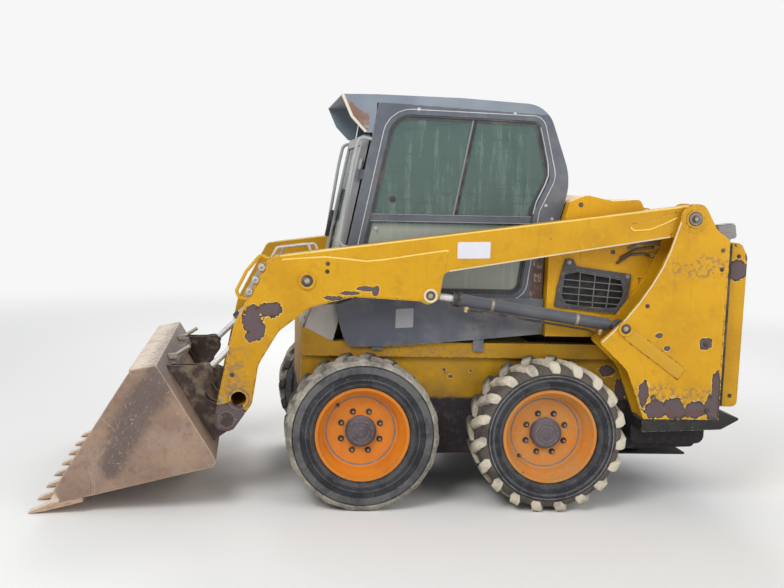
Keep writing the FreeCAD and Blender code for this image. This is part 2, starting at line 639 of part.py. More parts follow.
def arm_outline():
    return [(1604.0, 1488.0, 58), (-449.0, 1200.0, 45), (-616.0, 872.0, 160), (-694.0, 480.0, 120),
            (-700.0, 368.0, 52), (-616.0, 368.0, 40), (-524.0, 500.0, 60), (-496.0, 690.0, 110),
            (-404.0, 850.0, 130), (-255.0, 966.0, 110), (-60.0, 1018.0, 200), (262.0, 1002.0, 20),
            (300.0, 985.0, 20), (350.0, 1012.0, 20), (370.0, 1140.0, 26), (1450.0, 1326.0, 60),
            (1604.0, 1350.0, 58)]


def arm(side):
    """Boxed arm with its knee plate, pivot gusset and pin bosses, slotted for the lift rod's eye."""
    outline = arm_outline()
    shapes = [plate(outline, ARM_INNER_Y, ARM_OUTER_Y)]
    below = [(-470.0, 1180.0, 0), (-395.0, 1186.0, 60), (-197.0, 1202.0, 120), (-3.0, 1185.0, 160),
             (114.0, 1199.0, 120), (386.0, 1245.0, 12), (362.0, 1120.0, 0), (330.0, 900.0, 0),
             (-470.0, 300.0, 0), (-720.0, 300.0, 0), (-720.0, 560.0, 0)]
    knee = plate(inset(outline, 7.0), ARM_OUTER_Y, ARM_OUTER_Y + KNEE_PLATE)
    shapes.append(knee.common(plate(below, ARM_OUTER_Y - 1.0, ARM_OUTER_Y + KNEE_PLATE + 1.0)))
    gusset = [(1246.0, 1386.0, 10), (1255.0, 1352.0, 14), (1345.0, 1363.0, 60), (1472.0, 1420.0, 16),
              (1466.0, 1446.0, 14), (1330.0, 1398.0, 80)]
    shapes.append(plate(gusset, ARM_OUTER_Y - 1.0, ARM_OUTER_Y + 3.5))
    for x, z, radius in ((KNEE_PIN_X, KNEE_PIN_Z, 40.0), (LIFT_ROD_X, LIFT_ROD_Z, 34.0)):
        shapes.append(bar_y(x, z, radius, ARM_OUTER_Y - 4.0, ARM_OUTER_Y + KNEE_PLATE + 4.0))
    solid = fuse(shapes)
    slot_half = LIFT_EYE_WIDTH / 2.0 + 6.0
    slot = plate([(LIFT_ROD_X - 62.0, LIFT_ROD_Z - 130.0, 0), (LIFT_ROD_X + 200.0, LIFT_ROD_Z - 130.0, 0),
                  (LIFT_ROD_X + 200.0, LIFT_ROD_Z + 100.0, 0), (LIFT_ROD_X - 62.0, LIFT_ROD_Z + 100.0, 40)],
                 LIFT_Y - slot_half, LIFT_Y + slot_half)
    solid = solid.cut(slot)
    bores = [(PIVOT_X, PIVOT_Z, PIVOT_PIN_RADIUS + PIN_CLEARANCE),
             (COUPLER_PIN_X, COUPLER_PIN_Z, COUPLER_PIN_RADIUS + PIN_CLEARANCE),
             (CROSS_TUBE_X, CROSS_TUBE_Z, CROSS_TUBE_RADIUS + SEAT_GAP)]
    for x, z, radius in bores:
        solid = solid.cut(bar_y(x, z, radius, ARM_INNER_Y - 15.0, ARM_OUTER_Y + 27.0))
    return mirrored(solid, side)


def cross_tube():
    """Large tube through both arms above the coupler pins, open at its ends."""
    end = ARM_OUTER_Y + KNEE_PLATE + 3.0
    outer = bar_y(CROSS_TUBE_X, CROSS_TUBE_Z, CROSS_TUBE_RADIUS, -end, end)
    inner = bar_y(CROSS_TUBE_X, CROSS_TUBE_Z, CROSS_TUBE_RADIUS - CROSS_TUBE_WALL, -end - 4.0, end + 4.0)
    return outer.cut(inner)


def tilt_bracket(side):
    """Two ears inside the arm's knee that hold the tilt cylinder's base pin."""
    eye = TILT_EYE_WIDTH / 2.0 + 5.0
    ear_outline = [(KNEE_PIN_X - 44.0, KNEE_PIN_Z - 40.0, 34), (KNEE_PIN_X + 44.0, KNEE_PIN_Z - 40.0, 34),
                   (KNEE_PIN_X + 52.0, KNEE_PIN_Z + 62.0, 10), (KNEE_PIN_X - 52.0, KNEE_PIN_Z + 62.0, 10)]
    inner_ear = plate(ear_outline, TILT_Y - eye - BRACKET_PLATE, TILT_Y - eye)
    outer_ear = plate(ear_outline, TILT_Y + eye, TILT_Y + eye + BRACKET_PLATE)
    roof = box(KNEE_PIN_X - 52.0, KNEE_PIN_X + 52.0, TILT_Y - eye - BRACKET_PLATE, ARM_INNER_Y,
               KNEE_PIN_Z + 50.0, KNEE_PIN_Z + 62.0)
    spacer = bar_y(KNEE_PIN_X, KNEE_PIN_Z, 30.0, TILT_Y + eye, ARM_INNER_Y)
    pin = bar_y(KNEE_PIN_X, KNEE_PIN_Z, TILT_PIN_RADIUS, TILT_Y - eye - BRACKET_PLATE - 4.0, TILT_Y + eye)
    return mirrored(fuse([inner_ear, outer_ear, roof, spacer, pin]), side)


def unit_along(x0, z0, x1, z1):
    length = math.hypot(x1 - x0, z1 - z0)
    return (x1 - x0) / length, (z1 - z0) / length, length


def barrel(base, tip, y, radius, length, eye_radius, eye_width, pin_radius, bore, bore_start):
    """Cylinder barrel with its base eye, bored for the rod from the gland end."""
    ux, uz, span = unit_along(base[0], base[1], tip[0], tip[1])

    def along(distance):
        return base[0] + ux * distance, y, base[1] + uz * distance

    start = eye_radius + BARREL_NECK
    tube = rod(along(start), along(length), radius)
    neck = rod(along(20.0), along(start + 4.0), eye_width / 2.0 - 2.0)
    gland = rod(along(length - 46.0), along(length), radius + 3.0)
    eye = bar_y(base[0], base[1], eye_radius, y - eye_width / 2.0, y + eye_width / 2.0)
    solid = fuse([tube, neck, gland, eye])
    solid = solid.cut(rod(along(bore_start), along(length + 10.0), bore))
    return solid.cut(bar_y(base[0], base[1], pin_radius + PIN_CLEARANCE, y - eye_width, y + eye_width))


def piston_rod(base, tip, y, start, radius, eye_radius, eye_width, pin_radius):
    """Rod from inside the barrel to its eye."""
    ux, uz, span = unit_along(base[0], base[1], tip[0], tip[1])
    end = span - eye_radius + 8.0
    shaft = rod((base[0] + ux * start, y, base[1] + uz * start), (base[0] + ux * end, y, base[1] + uz * end),
                radius)
    eye = bar_y(tip[0], tip[1], eye_radius, y - eye_width / 2.0, y + eye_width / 2.0)
    bore = pin_radius + PIN_CLEARANCE + 0.4
    return fuse([shaft, eye]).cut(bar_y(tip[0], tip[1], bore, y - eye_width, y + eye_width))


# coupler and bucket

def tipped(shape):
    """Turns a piece that was drawn level about the coupler pin to the bucket's angle at rest."""
    moved = shape.copy()
    moved.translate(V(COUPLER_PIN_X, 0, COUPLER_PIN_Z))
    moved.rotate(V(COUPLER_PIN_X, 0, COUPLER_PIN_Z), V(0, 1, 0), -BUCKET_TIP_ANGLE)
    return moved


def bucket_back_x(z):
    """The outer back wall of the level bucket leans back from its heel to its top."""
    share = (z - BUCKET_BACK_DZ) / (BUCKET_TOP_DZ - BUCKET_BACK_DZ)
    return BUCKET_BACK_DX + (BUCKET_TOP_DX - BUCKET_BACK_DX) * share


def bucket_outline():
    low = BUCKET_BACK_DZ
    return [(BUCKET_EDGE_DX, BUCKET_FLOOR_DZ, 0), (BUCKET_HEEL_DX, BUCKET_FLOOR_DZ, BUCKET_HEEL_RADIUS),
            (bucket_back_x(low), low, 10), (bucket_back_x(33.0), 33.0, 300),
            (BUCKET_TOP_DX, BUCKET_TOP_DZ, 6), (BUCKET_TOP_DX - BUCKET_LIP_DEPTH, BUCKET_TOP_DZ + 6.0, 6),
            (-568.0, 157.0, 0), (-800.0, -68.0, 20), (BUCKET_EDGE_DX - 24.0, -112.0, 10)]


def bucket_shell():
    """Bent sheet shell with its side plates, open at the front, with a folded top lip."""
    wall = BUCKET_SHELL
    low = BUCKET_BACK_DZ
    solid = plate(bucket_outline(), -BUCKET_HALF_WIDTH, BUCKET_HALF_WIDTH)
    cavity = [(BUCKET_EDGE_DX - 400.0, BUCKET_FLOOR_DZ + wall, 0),
              (BUCKET_BACK_DX, BUCKET_FLOOR_DZ + wall, BUCKET_HEEL_RADIUS - 8.0),
              (bucket_back_x(low) - wall, low, 10), (bucket_back_x(33.0) - wall, 33.0, 300),
              (BUCKET_TOP_DX - wall - 3.0, BUCKET_TOP_DZ - wall, 6),
              (BUCKET_TOP_DX - BUCKET_LIP_DEPTH - 300.0, BUCKET_TOP_DZ - wall + 6.0, 0)]
    inside = BUCKET_HALF_WIDTH - BUCKET_SIDE
    return tipped(solid.cut(plate(cavity, -inside, inside)))


def bucket_edge():
    """Thick cutting edge under the floor's front with the row of teeth on it."""
    floor = BUCKET_FLOOR_DZ
    under = floor - EDGE_THICK
    front = BUCKET_EDGE_DX - EDGE_REACH
    back = BUCKET_EDGE_DX + EDGE_DEPTH
    edge = plate([(front, under, 2), (back, under, 0), (back, floor, 0), (front + 14.0, floor, 2),
                  (front, under + 8.0, 2)], -BUCKET_HALF_WIDTH, BUCKET_HALF_WIDTH)
    shapes = [edge]
    tip = BUCKET_EDGE_DX - TOOTH_LENGTH
    heel = BUCKET_EDGE_DX - 8.0
    tooth = [(tip, under + 4.0, 2), (front, under, 0), (heel, under, 0), (heel, floor + TOOTH_RISE, 4),
             (heel - 40.0, floor + TOOTH_RISE, 4), (tip, under + 10.0, 2)]
    pitch = (2.0 * BUCKET_HALF_WIDTH - TOOTH_WIDTH) / (TOOTH_COUNT - 1)
    for i in range(TOOTH_COUNT):
        y = -BUCKET_HALF_WIDTH + TOOTH_WIDTH / 2.0 + pitch * i
        shapes.append(plate(tooth, y - TOOTH_WIDTH / 2.0, y + TOOTH_WIDTH / 2.0))
    return tipped(fuse(shapes))


def on_back(distance, z):
    """A point that lies a distance behind the level bucket's back wall, at height z."""
    return bucket_back_x(z) + distance, z


def back_strip(near, far, low, high):
    """The outline of a strip along the bucket's back between two distances and two heights."""
    return [on_back(near, low) + (0,), on_back(far, low) + (0,), on_back(far, high) + (0,),
            on_back(near, high) + (0,)]


def coupler_frame():
    """Quick coupler: two C-shaped side plates with pin ears, face plates and cross bars."""
    shapes = []
    eye = TILT_EYE_WIDTH / 2.0 + 5.0
    tip = math.radians(BUCKET_TIP_ANGLE)
    upper_x = TILT_ROD_PIN_DX * math.cos(tip) + TILT_ROD_PIN_DZ * math.sin(tip)
    upper_z = -TILT_ROD_PIN_DX * math.sin(tip) + TILT_ROD_PIN_DZ * math.cos(tip)
    gap = 0.5
    inner_ear = TILT_Y - eye - COUPLER_PLATE
    outer_ear = TILT_Y + eye + COUPLER_PLATE
    ear = [on_back(gap, -108.0) + (10,), (28.0, -64.0, 30), (46.0, 30.0, 40), (-14.0, 46.0, 30),
           on_back(62.0, 110.0) + (60,), (upper_x + 30.0, upper_z - 44.0, 30),
           (upper_x + 34.0, upper_z + 34.0, 32), (upper_x - 40.0, upper_z + 40.0, 30),
           on_back(gap, 300.0) + (10,)]
    face = back_strip(gap, gap + 14.0, -108.0, 300.0)
    for name, side in SIDES:
        for y0, y1 in ((inner_ear, TILT_Y - eye), (TILT_Y + eye, outer_ear)):
            shapes.append(plate(ear, side * y0, side * y1))
        shapes.append(plate(face, side * (TILT_Y - 130.0), side * outer_ear))
        pin_end = ARM_OUTER_Y + KNEE_PLATE + 4.0
        shapes.append(bar_y(0.0, 0.0, COUPLER_PIN_RADIUS, side * (TILT_Y + eye), side * pin_end))
        shapes.append(bar_y(0.0, 0.0, 32.0, side * (pin_end - 3.5), side * pin_end))
        for y0, y1 in ((inner_ear - 5.0, TILT_Y - eye), (TILT_Y + eye, outer_ear + 5.0)):
            shapes.append(bar_y(upper_x, upper_z, TILT_PIN_RADIUS + 7.0, side * y0, side * y1))
    top_bar = [on_back(gap, 250.0) + (0,), on_back(gap + 40.0, 250.0) + (4,),
               on_back(gap + 40.0, 286.0) + (4,), on_back(gap, 300.0) + (0,)]
    low_bar = [on_back(gap, -108.0) + (0,), on_back(gap + 40.0, -108.0) + (4,),
               on_back(gap + 40.0, -60.0) + (4,), on_back(gap, -50.0) + (0,)]
    reach = TILT_Y - eye
    shapes.append(plate(top_bar, -reach, reach))
    shapes.append(plate(low_bar, -reach, reach))
    return tipped(fuse(shapes))


def coupler_levers():
    """The two latch levers at the top of the coupler: a pivot block and a round handle each."""
    shapes = []
    for name, side in SIDES:
        y = side * LEVER_Y
        block = plate([on_back(0.5, 301.0) + (0,), on_back(44.0, 301.0) + (0,), on_back(40.0, 322.0) + (6,),
                       on_back(6.0, 326.0) + (4,)], y - 11.0, y + 11.0)
        handle = rod((-196.0, y, 312.0), (-114.0, y, 340.0), LEVER_RADIUS)
        shapes.append(fuse([block, handle]))
    return tipped(Part.makeCompound(shapes))


# cab

def cab_height(share):
    """A height in the cab, given as a share of the way from its sill to its roof."""
    return CAB_BOTTOM_Z + share * CAB_HEIGHT


def cab_outline():
    """The whole cab seen from the side, with the rounded end of its roof."""
    return [(CAB_FRONT_BOTTOM_X, CAB_BOTTOM_Z, 8), (CAB_PILLAR_TOP_X, CAB_TOP_Z - 150.0, 60),
            (CAB_PILLAR_TOP_X + 16.0, CAB_TOP_Z - CAB_ROOF, 0), (CAB_PILLAR_TOP_X + 16.0, CAB_TOP_Z, 0),
            (465.0, CAB_TOP_Z - 8.0, 0), (CAB_REAR_TOP_X, CAB_TOP_Z - 32.0, 150),
            (CAB_REAR_MID_X, cab_height(0.615), 300), (CAB_REAR_LOW_X, cab_height(0.356), 60),
            (CAB_REAR_BOTTOM_X, cab_height(0.27), 120), (CAB_REAR_BOTTOM_X, CAB_BOTTOM_Z, 8)]


def above_side(gap):
    """Everything above the line where the roof sits on the side frames."""
    return [(CAB_FRONT_BOTTOM_X - 100.0, CAB_TOP_Z - CAB_ROOF + gap, 0),
            (CAB_FRONT_TOP_X + 40.0, CAB_TOP_Z - CAB_ROOF + gap, 0),
            (CAB_REAR_TOP_X - 19.0, CAB_TOP_Z - CAB_ROOF_END + gap, 0),
            (CAB_REAR_MID_X + 100.0, CAB_TOP_Z - CAB_ROOF_END + gap, 0),
            (CAB_REAR_MID_X + 100.0, CAB_TOP_Z + 50.0, 0), (CAB_FRONT_BOTTOM_X - 100.0, CAB_TOP_Z + 50.0, 0)]


def cab_window_outline():
    return [(-45.0, cab_height(0.059), 50), (128.0, cab_height(0.913), 110), (846.0, cab_height(0.893), 44),
            (912.0, cab_height(0.629), 90), (838.0, cab_height(0.471), 70), (786.0, cab_height(0.059), 60)]


def cab_side(side):
    """Pressed side frame with its window opening and the cross bar below the glass."""
    y1 = CAB_HALF_WIDTH
    y0 = CAB_HALF_WIDTH - CAB_FRAME
    frame = plate(cab_outline(), y0, y1).cut(plate(above_side(0.0), y0 - 1.0, y1 + 1.0))
    frame = frame.cut(plate(cab_window_outline(), y0 - 1.0, y1 + 1.0))
    bar = box(20.0, 840.0, y0 + 8.0, y1 - 8.0, CROSS_BAR_Z, CROSS_BAR_Z + CROSS_BAR_HEIGHT)
    shapes = [mirrored(fuse([frame, bar]), side)]
    if side == LEFT:
        for z in DOOR_HINGES_Z:
            low = z - HINGE_HEIGHT - SEAT_GAP
            shapes.append(door_knuckle(low, z - SEAT_GAP))
            shapes.append(sloped(low + 4.0, z - SEAT_GAP - 4.0, -DOOR_HINGE_OFFSET, 2.0, -DOOR_HINGE_Y - 6.0,
                                 -DOOR_HINGE_Y + 1.0))
    return fuse(shapes)


def side_glass(side):
    """Upper and lower panes on the cross bar."""
    y0 = CAB_HALF_WIDTH - 22.0
    panes = plate(inset(cab_window_outline(), GLASS_GAP), y0, y0 + GLASS)
    bar = box(-200.0, 1100.0, y0 - 10.0, y0 + 20.0, CROSS_BAR_Z - GLASS_GAP,
              CROSS_BAR_Z + CROSS_BAR_HEIGHT + GLASS_GAP)
    return mirrored(panes.cut(bar), side)


def cab_roof():
    """Roof pressing with rounded rear edge, the visor over the front and the header behind it."""
    half = CAB_HALF_WIDTH
    under = CAB_TOP_Z - CAB_ROOF + 0.5
    roof = plate(cab_outline(), -half, half).common(plate(above_side(0.5), -half - 1.0, half + 1.0))
    front = CAB_PILLAR_TOP_X + 8.0
    lip = box(front, front + 10.0, -half, half, under, CAB_TOP_Z)
    visor_outline = [(front + 1.0, CAB_TOP_Z, 0), (VISOR_FRONT_X, CAB_TOP_Z - 2.0, 6),
                     (VISOR_FRONT_X + 50.0, CAB_TOP_Z - 110.0, 30), (front - 56.0, CAB_TOP_Z - 182.0, 6),
                     (front - 18.0, CAB_TOP_Z - 182.0, 0), (front - 2.0, CAB_TOP_Z - 90.0, 0)]
    visor = plate(visor_outline, -half, half)
    mouth = VISOR_FRONT_X - 60.0
    hollow = plate([(front + 30.0, CAB_TOP_Z - 8.0, 0), (mouth, CAB_TOP_Z - 10.0, 0),
                    (mouth, CAB_TOP_Z - 260.0, 0), (front + 30.0, CAB_TOP_Z - 260.0, 0)],
                   -half + 7.0, half - 7.0)
    inside = half - CAB_FRAME - GLASS_GAP
    header = box(front + 0.5, front + 44.0, -inside, inside, CAB_TOP_Z - 96.0, under + 0.5)
    return fuse([roof, lip, visor.cut(hollow), header])


def front_x(z):
    """The cab's sloping front edge at height z."""
    share = (z - CAB_BOTTOM_Z) / (CAB_HEIGHT - 150.0)
    return CAB_FRONT_BOTTOM_X + (CAB_PILLAR_TOP_X - CAB_FRONT_BOTTOM_X) * share


def sloped(z0, z1, offset0, offset1, y0, y1):
    """A slab that follows the cab's sloping front, between two offsets from it."""
    return plate([(front_x(z0) + offset0, z0, 0), (front_x(z1) + offset0, z1, 0),
                  (front_x(z1) + offset1, z1, 0), (front_x(z0) + offset1, z0, 0)], y0, y1)


def cab_front():
    """Sill and lower crosspiece between the side frames, under the door."""
    half = CAB_HALF_WIDTH - CAB_FRAME
    sill = sloped(CAB_BOTTOM_Z, CAB_BOTTOM_Z + 50.0, 0.0, 40.0, -half, half)
    shapes = [sill]
    for name, side in SIDES:
        foot = plate([(TUB_FRONT_X + 12.0, NOSE_TOP_Z, 0), (TUB_FRONT_X + 20.0, NOSE_TOP_Z, 0),
                      (TUB_FRONT_X + 150.0, TUB_TOP_Z + RAIL_HEIGHT + SEAT_GAP, 0), (-84.0, CAB_BOTTOM_Z, 0),
                      (CAB_FRONT_BOTTOM_X, CAB_BOTTOM_Z, 0), (-236.0, 944.0, 12)],
                     side * (half - 8.0), side * (half + CAB_FRAME))
        shapes.append(foot)
    lower = plate([(TUB_FRONT_X + 2.0, NOSE_TOP_Z, 0), (TUB_FRONT_X + 10.0, NOSE_TOP_Z, 0),
                   (-232.0, 944.0, 0), (-240.0, 944.0, 0)], -half, half)
    tread = plate([(-240.0, 936.0, 0), (-240.0, 944.0, 0), (-90.0, 970.0, 0), (-90.0, 962.0, 0)],
                  -half, half)
    shapes.append(lower)
    shapes.append(tread)
    return fuse(shapes)


def cab_rear():
    """Rear wall with the window opening."""
    half = CAB_HALF_WIDTH - CAB_FRAME
    outer = cab_outline()
    slab = plate(outer, -half, half).cut(plate(above_side(0.0), -half - 1.0, half + 1.0))
    slab = slab.cut(plate(inset(outer, 30.0), -half - 1.0, half + 1.0))
    slab = slab.cut(box(-400.0, 840.0, -half - 1.0, half + 1.0, CAB_BOTTOM_Z - 10.0, CAB_TOP_Z + 10.0))
    return slab.cut(box(700.0, 1100.0, -half + 60.0, half - 60.0, cab_height(0.491), cab_height(0.866)))


def rear_glass():
    half = CAB_HALF_WIDTH - CAB_FRAME - 60.0 - GLASS_GAP
    outer = cab_outline()
    skin = plate(inset(outer, 12.0), -half, half)
    skin = skin.cut(plate(inset(outer, 12.0 + GLASS), -half - 1.0, half + 1.0))
    return skin.common(box(850.0, 1100.0, -half, half, cab_height(0.491) + GLASS_GAP,
                           cab_height(0.866) - GLASS_GAP))


def door_frame():
    """Front door frame in front of the pillars, hinged on the left."""
    bottom = CAB_BOTTOM_Z + 6.0
    top = CAB_TOP_Z - DOOR_TOP_DROP
    slab = sloped(bottom, top, -DOOR_GAP - DOOR_THICK, -DOOR_GAP, -DOOR_HALF_WIDTH, DOOR_HALF_WIDTH)
    hole = sloped(bottom + DOOR_FRAME, top - DOOR_FRAME, -DOOR_GAP - DOOR_THICK - 20.0, -DOOR_GAP + 20.0,
                  -DOOR_HALF_WIDTH + DOOR_FRAME, DOOR_HALF_WIDTH - DOOR_FRAME)
    shapes = [slab.cut(hole)]
    for z in DOOR_HINGES_Z:
        shapes.append(door_knuckle(z, z + HINGE_HEIGHT))
        shapes.append(sloped(z + 4.0, z + HINGE_HEIGHT - 4.0, -DOOR_HINGE_OFFSET - 4.0,
                             -DOOR_HINGE_OFFSET + 4.0, -DOOR_HINGE_Y, -DOOR_HALF_WIDTH + 4.0))
    return fuse(shapes)


def door_knuckle(z0, z1):
    """A stretch of hinge barrel on the door's sloping hinge line."""
    return rod((front_x(z0) - DOOR_HINGE_OFFSET, -DOOR_HINGE_Y, z0),
               (front_x(z1) - DOOR_HINGE_OFFSET, -DOOR_HINGE_Y, z1), HINGE_RADIUS - 2.0)


def door_glass():
    bottom = CAB_BOTTOM_Z + 6.0 + DOOR_FRAME
    top = CAB_TOP_Z - DOOR_TOP_DROP - DOOR_FRAME
    return sloped(bottom + GLASS_GAP, top - GLASS_GAP, -DOOR_GAP - 20.0 - GLASS, -DOOR_GAP - 20.0,
                  -DOOR_HALF_WIDTH + DOOR_FRAME + GLASS_GAP, DOOR_HALF_WIDTH - DOOR_FRAME - GLASS_GAP)


def seat():
    """Pan, cushion and back on the tub's rear shelf."""
    shelf = TUB_TOP_Z + RAIL_HEIGHT
    half = SEAT_WIDTH / 2.0
    base = box(380.0, 700.0, -half + 40.0, half - 40.0, shelf, shelf + 70.0)
    cushion = plate([(300.0, shelf + 60.0, 30), (740.0, shelf + 60.0, 20), (740.0, shelf + 150.0, 30),
                     (300.0, shelf + 170.0, 50)], -half, half)
    back = plate([(670.0, shelf + 140.0, 20), (790.0, shelf + 140.0, 20), (814.0, shelf + 600.0, 50),
                  (740.0, shelf + 600.0, 40)], -half, half)
    return fuse([base, cushion, back])


def controls():
    """Two levers on consoles beside the operator's knees."""
    shelf = TUB_TOP_Z + RAIL_HEIGHT
    shapes = []
    for name, side in SIDES:
        console = box(130.0, 330.0, side * 300.0, side * 370.0, shelf, 960.0)
        stick = rod((220.0, side * 335.0, 955.0), (180.0, side * 320.0, 1180.0), 12.0)
        grip = rod((182.0, side * 321.0, 1150.0), (168.0, side * 316.0, 1240.0), 22.0)
        shapes.append(fuse([console, stick, grip]))
    return Part.makeCompound(shapes)


def bent_bar(points, radius, bend):
    """A round bar along straight runs joined by arcs of one radius."""
    vectors = [V(*p) for p in points]
    shapes = []
    last = vectors[0]
    for i in range(1, len(vectors) - 1):
        here = vectors[i]
        before = vectors[i - 1] - here
        after = vectors[i + 1] - here
        before.normalize()
        after.normalize()
        half = before.getAngle(after) / 2.0
        run = bend / math.tan(half)
        middle = before + after
        middle.normalize()
        centre = here + middle * (bend / math.sin(half))
        start = here + before * run
        end = here + after * run
        shapes.append(Part.makeCylinder(radius, (start - last).Length, last, start - last))
        section = Part.Face(Part.Wire([Part.makeCircle(radius, start, before)]))
        axis = before.cross(after)
        axis.normalize()
        turn = 180.0 - math.degrees(2.0 * half)
        shapes.append(section.revolve(centre, axis * -1.0, turn))
        last = end
    shapes.append(Part.makeCylinder(radius, (vectors[-1] - last).Length, last, vectors[-1] - last))
    return fuse(shapes)


def seat_bar():
    """Restraint bar over the operator's lap, pivoted behind the seat."""
    half = 300.0
    pivot_x = BAR_PIVOT_X
    pivot_z = BAR_PIVOT_Z
    pillar = CAB_HALF_WIDTH - CAB_FRAME - SEAT_GAP
    knee_x = pivot_x - 260.0
    lap_x = pivot_x - 532.0
    lap_z = pivot_z - 200.0
    points = [(pivot_x, -half, pivot_z), (knee_x, -half, pivot_z - 60.0), (lap_x, -half, lap_z),
              (lap_x, half, lap_z), (knee_x, half, pivot_z - 60.0), (pivot_x, half, pivot_z)]
    tube = bent_bar(points, 14.0, 60.0)
    shapes = [tube]
    for name, side in SIDES:
        shapes.append(bar_y(pivot_x, pivot_z, 26.0, side * (half - 16.0), side * (half + 16.0)))
        shapes.append(bar_y(pivot_x, pivot_z, 12.0, side * half, side * pillar))
    return fuse(shapes)


def grab_bars():
    """A bent handle in front of each cab pillar."""
    shapes = []
    top = cab_height(0.791)
    low = cab_height(0.274)
    waist = cab_height(0.679)
    for name, side in SIDES:
        y = side * (CAB_HALF_WIDTH - GRAB_BAR_INSET)
        points = [(front_x(top) - SEAT_GAP, y, top), (front_x(top) - 62.0, y, top + 12.0),
                  (front_x(waist) - 66.0, y, waist), (front_x(low + 10.0) - 46.0, y, low + 10.0),
                  (front_x(low) - SEAT_GAP, y, low)]
        shapes.append(bent_bar(points, GRAB_BAR_RADIUS, 34.0))
    return Part.makeCompound(shapes)


# tail

def tailgate():
    """Dished rear door with rounded top corners, a louvred air outlet and its hinge halves."""
    half = TAILGATE_HALF_WIDTH
    wall = TAILGATE_WALL
    outline = [(TAILGATE_FRONT_X, TAILGATE_BOTTOM_Z, 6), (TAILGATE_REAR_X - 4.0, TAILGATE_BOTTOM_Z, 30),
               (TAILGATE_REAR_X, TAILGATE_TOP_Z - 64.0, 60), (TAILGATE_REAR_X - 34.0, TAILGATE_TOP_Z, 34),
               (TAILGATE_FRONT_X, TAILGATE_TOP_Z, 4)]
    solid = plate(outline, -half, half)
    core = plate(inset(outline, wall), -half + wall, half - wall)
    mouth = box(TAILGATE_FRONT_X - 10.0, TAILGATE_FRONT_X + 20.0, -half + wall, half - wall,
                TAILGATE_BOTTOM_Z + wall, TAILGATE_TOP_Z - wall)
    solid = solid.cut(core).cut(mouth)
    for i in range(TAILGATE_SLOTS):
        z = TAILGATE_BOTTOM_Z + 154.0 + 52.0 * i
        solid = solid.cut(box(TAILGATE_REAR_X - 30.0, TAILGATE_REAR_X + 10.0, -300.0, 300.0, z, z + 22.0))
    shapes = [solid]
    x = TAILGATE_FRONT_X - 12.0
    for z in TAILGATE_HINGES_Z:
        shapes.append(Part.makeCylinder(HINGE_RADIUS, 80.0, V(x, tailgate_hinge_y(), z)))
        shapes.append(box(x, x + 20.0, half - wall, tailgate_hinge_y(), z, z + 80.0))
    return fuse(shapes)


def tailgate_hinge_y():
    return TAILGATE_HALF_WIDTH + 14.0


def tailgate_hinges():
    """Hinge halves on the right upright that the tailgate turns on."""
    shapes = []
    x = TAILGATE_FRONT_X - 12.0
    y = tailgate_hinge_y()
    for z in TAILGATE_HINGES_Z:
        low = z - 30.5
        barrel_half = Part.makeCylinder(HINGE_RADIUS, 30.0, V(x, y, low))
        leaf = box(UPRIGHT_REAR_X, x, y - 8.0, y + 8.0, low, low + 30.0)
        shapes.append(fuse([barrel_half, leaf]))
    return Part.makeCompound(shapes)


def rear_screen():
    """Slatted lid over the cooler, hinged at its front edge."""
    half = SCREEN_HALF_WIDTH
    slope = math.atan2(HOOD_REAR_Z - SCREEN_HINGE_Z, HOOD_REAR_X - SCREEN_HINGE_X)
    ux, uz = math.cos(slope), math.sin(slope)

    def slab(start, end, low, high, reach):
        corners = []
        for along, up in ((start, low), (end, low), (end, high), (start, high)):
            corners.append((SCREEN_HINGE_X + ux * along - uz * up, SCREEN_HINGE_Z + uz * along + ux * up, 0))
        return plate(corners, -reach, reach)

    lid = slab(10.0, SCREEN_LENGTH, SEAT_GAP, SCREEN_THICK, half)
    width = (SCREEN_LENGTH - 60.0) / SCREEN_SLOTS
    for i in range(SCREEN_SLOTS):
        start = 34.0 + width * i
        lid = lid.cut(slab(start, start + width - 18.0, -10.0, SCREEN_THICK + 10.0, half - 30.0))
    return lid


def hose_guard(carrier):
    """Bent rod loop in front of the left arm's knee, round the quick couplers."""
    y = -ARM_OUTER_Y + 14.0
    points = [(-430.0, y, 1180.0), (-496.0, y, 1206.0), (-560.0, y, 1130.0), (-606.0, y, 1036.0),
              (-590.0, y, 1003.0), (-520.0, y, 994.0)]
    return bent_bar(points, GUARD_RADIUS, 16.0).cut(carrier)


def quick_couplers(carrier):
    """Three hydraulic couplings on a strip that is welded to the front of the left knee."""
    y = -ARM_OUTER_Y + 46.0
    strip = plate([(-470.0, 1168.0, 6), (-490.0, 1170.0, 6), (-575.0, 1010.0, 6), (-540.0, 1004.0, 6)],
                  y - 4.0, y + 4.0)
    shapes = [strip]
    for x, z in ((-489.0, 1148.0), (-517.0, 1090.0), (-545.0, 1034.0)):
        shapes.append(bar_y(x, z, 17.0, y - 26.0, y + 12.0))
        shapes.append(bar_y(x, z, 13.0, y - 42.0, y + 30.0))
    return fuse(shapes).cut(carrier)


def boom_tubes(carrier):
    """Hydraulic tubes over the top of the left knee."""
    shapes = []
    for across, back in ((34.0, 0.0), (60.0, -34.0)):
        y = -ARM_INNER_Y - across
        tube = bent_bar([(-412.0 + back, y, 1190.0), (-384.0 + back, y, 1242.0), (-238.0 + back, y, 1262.0),
                         (-222.0 + back, y, 1215.0)], HOSE_TUBE_RADIUS, 16.0)
        shapes.append(tube.cut(carrier))
    return Part.makeCompound(shapes)


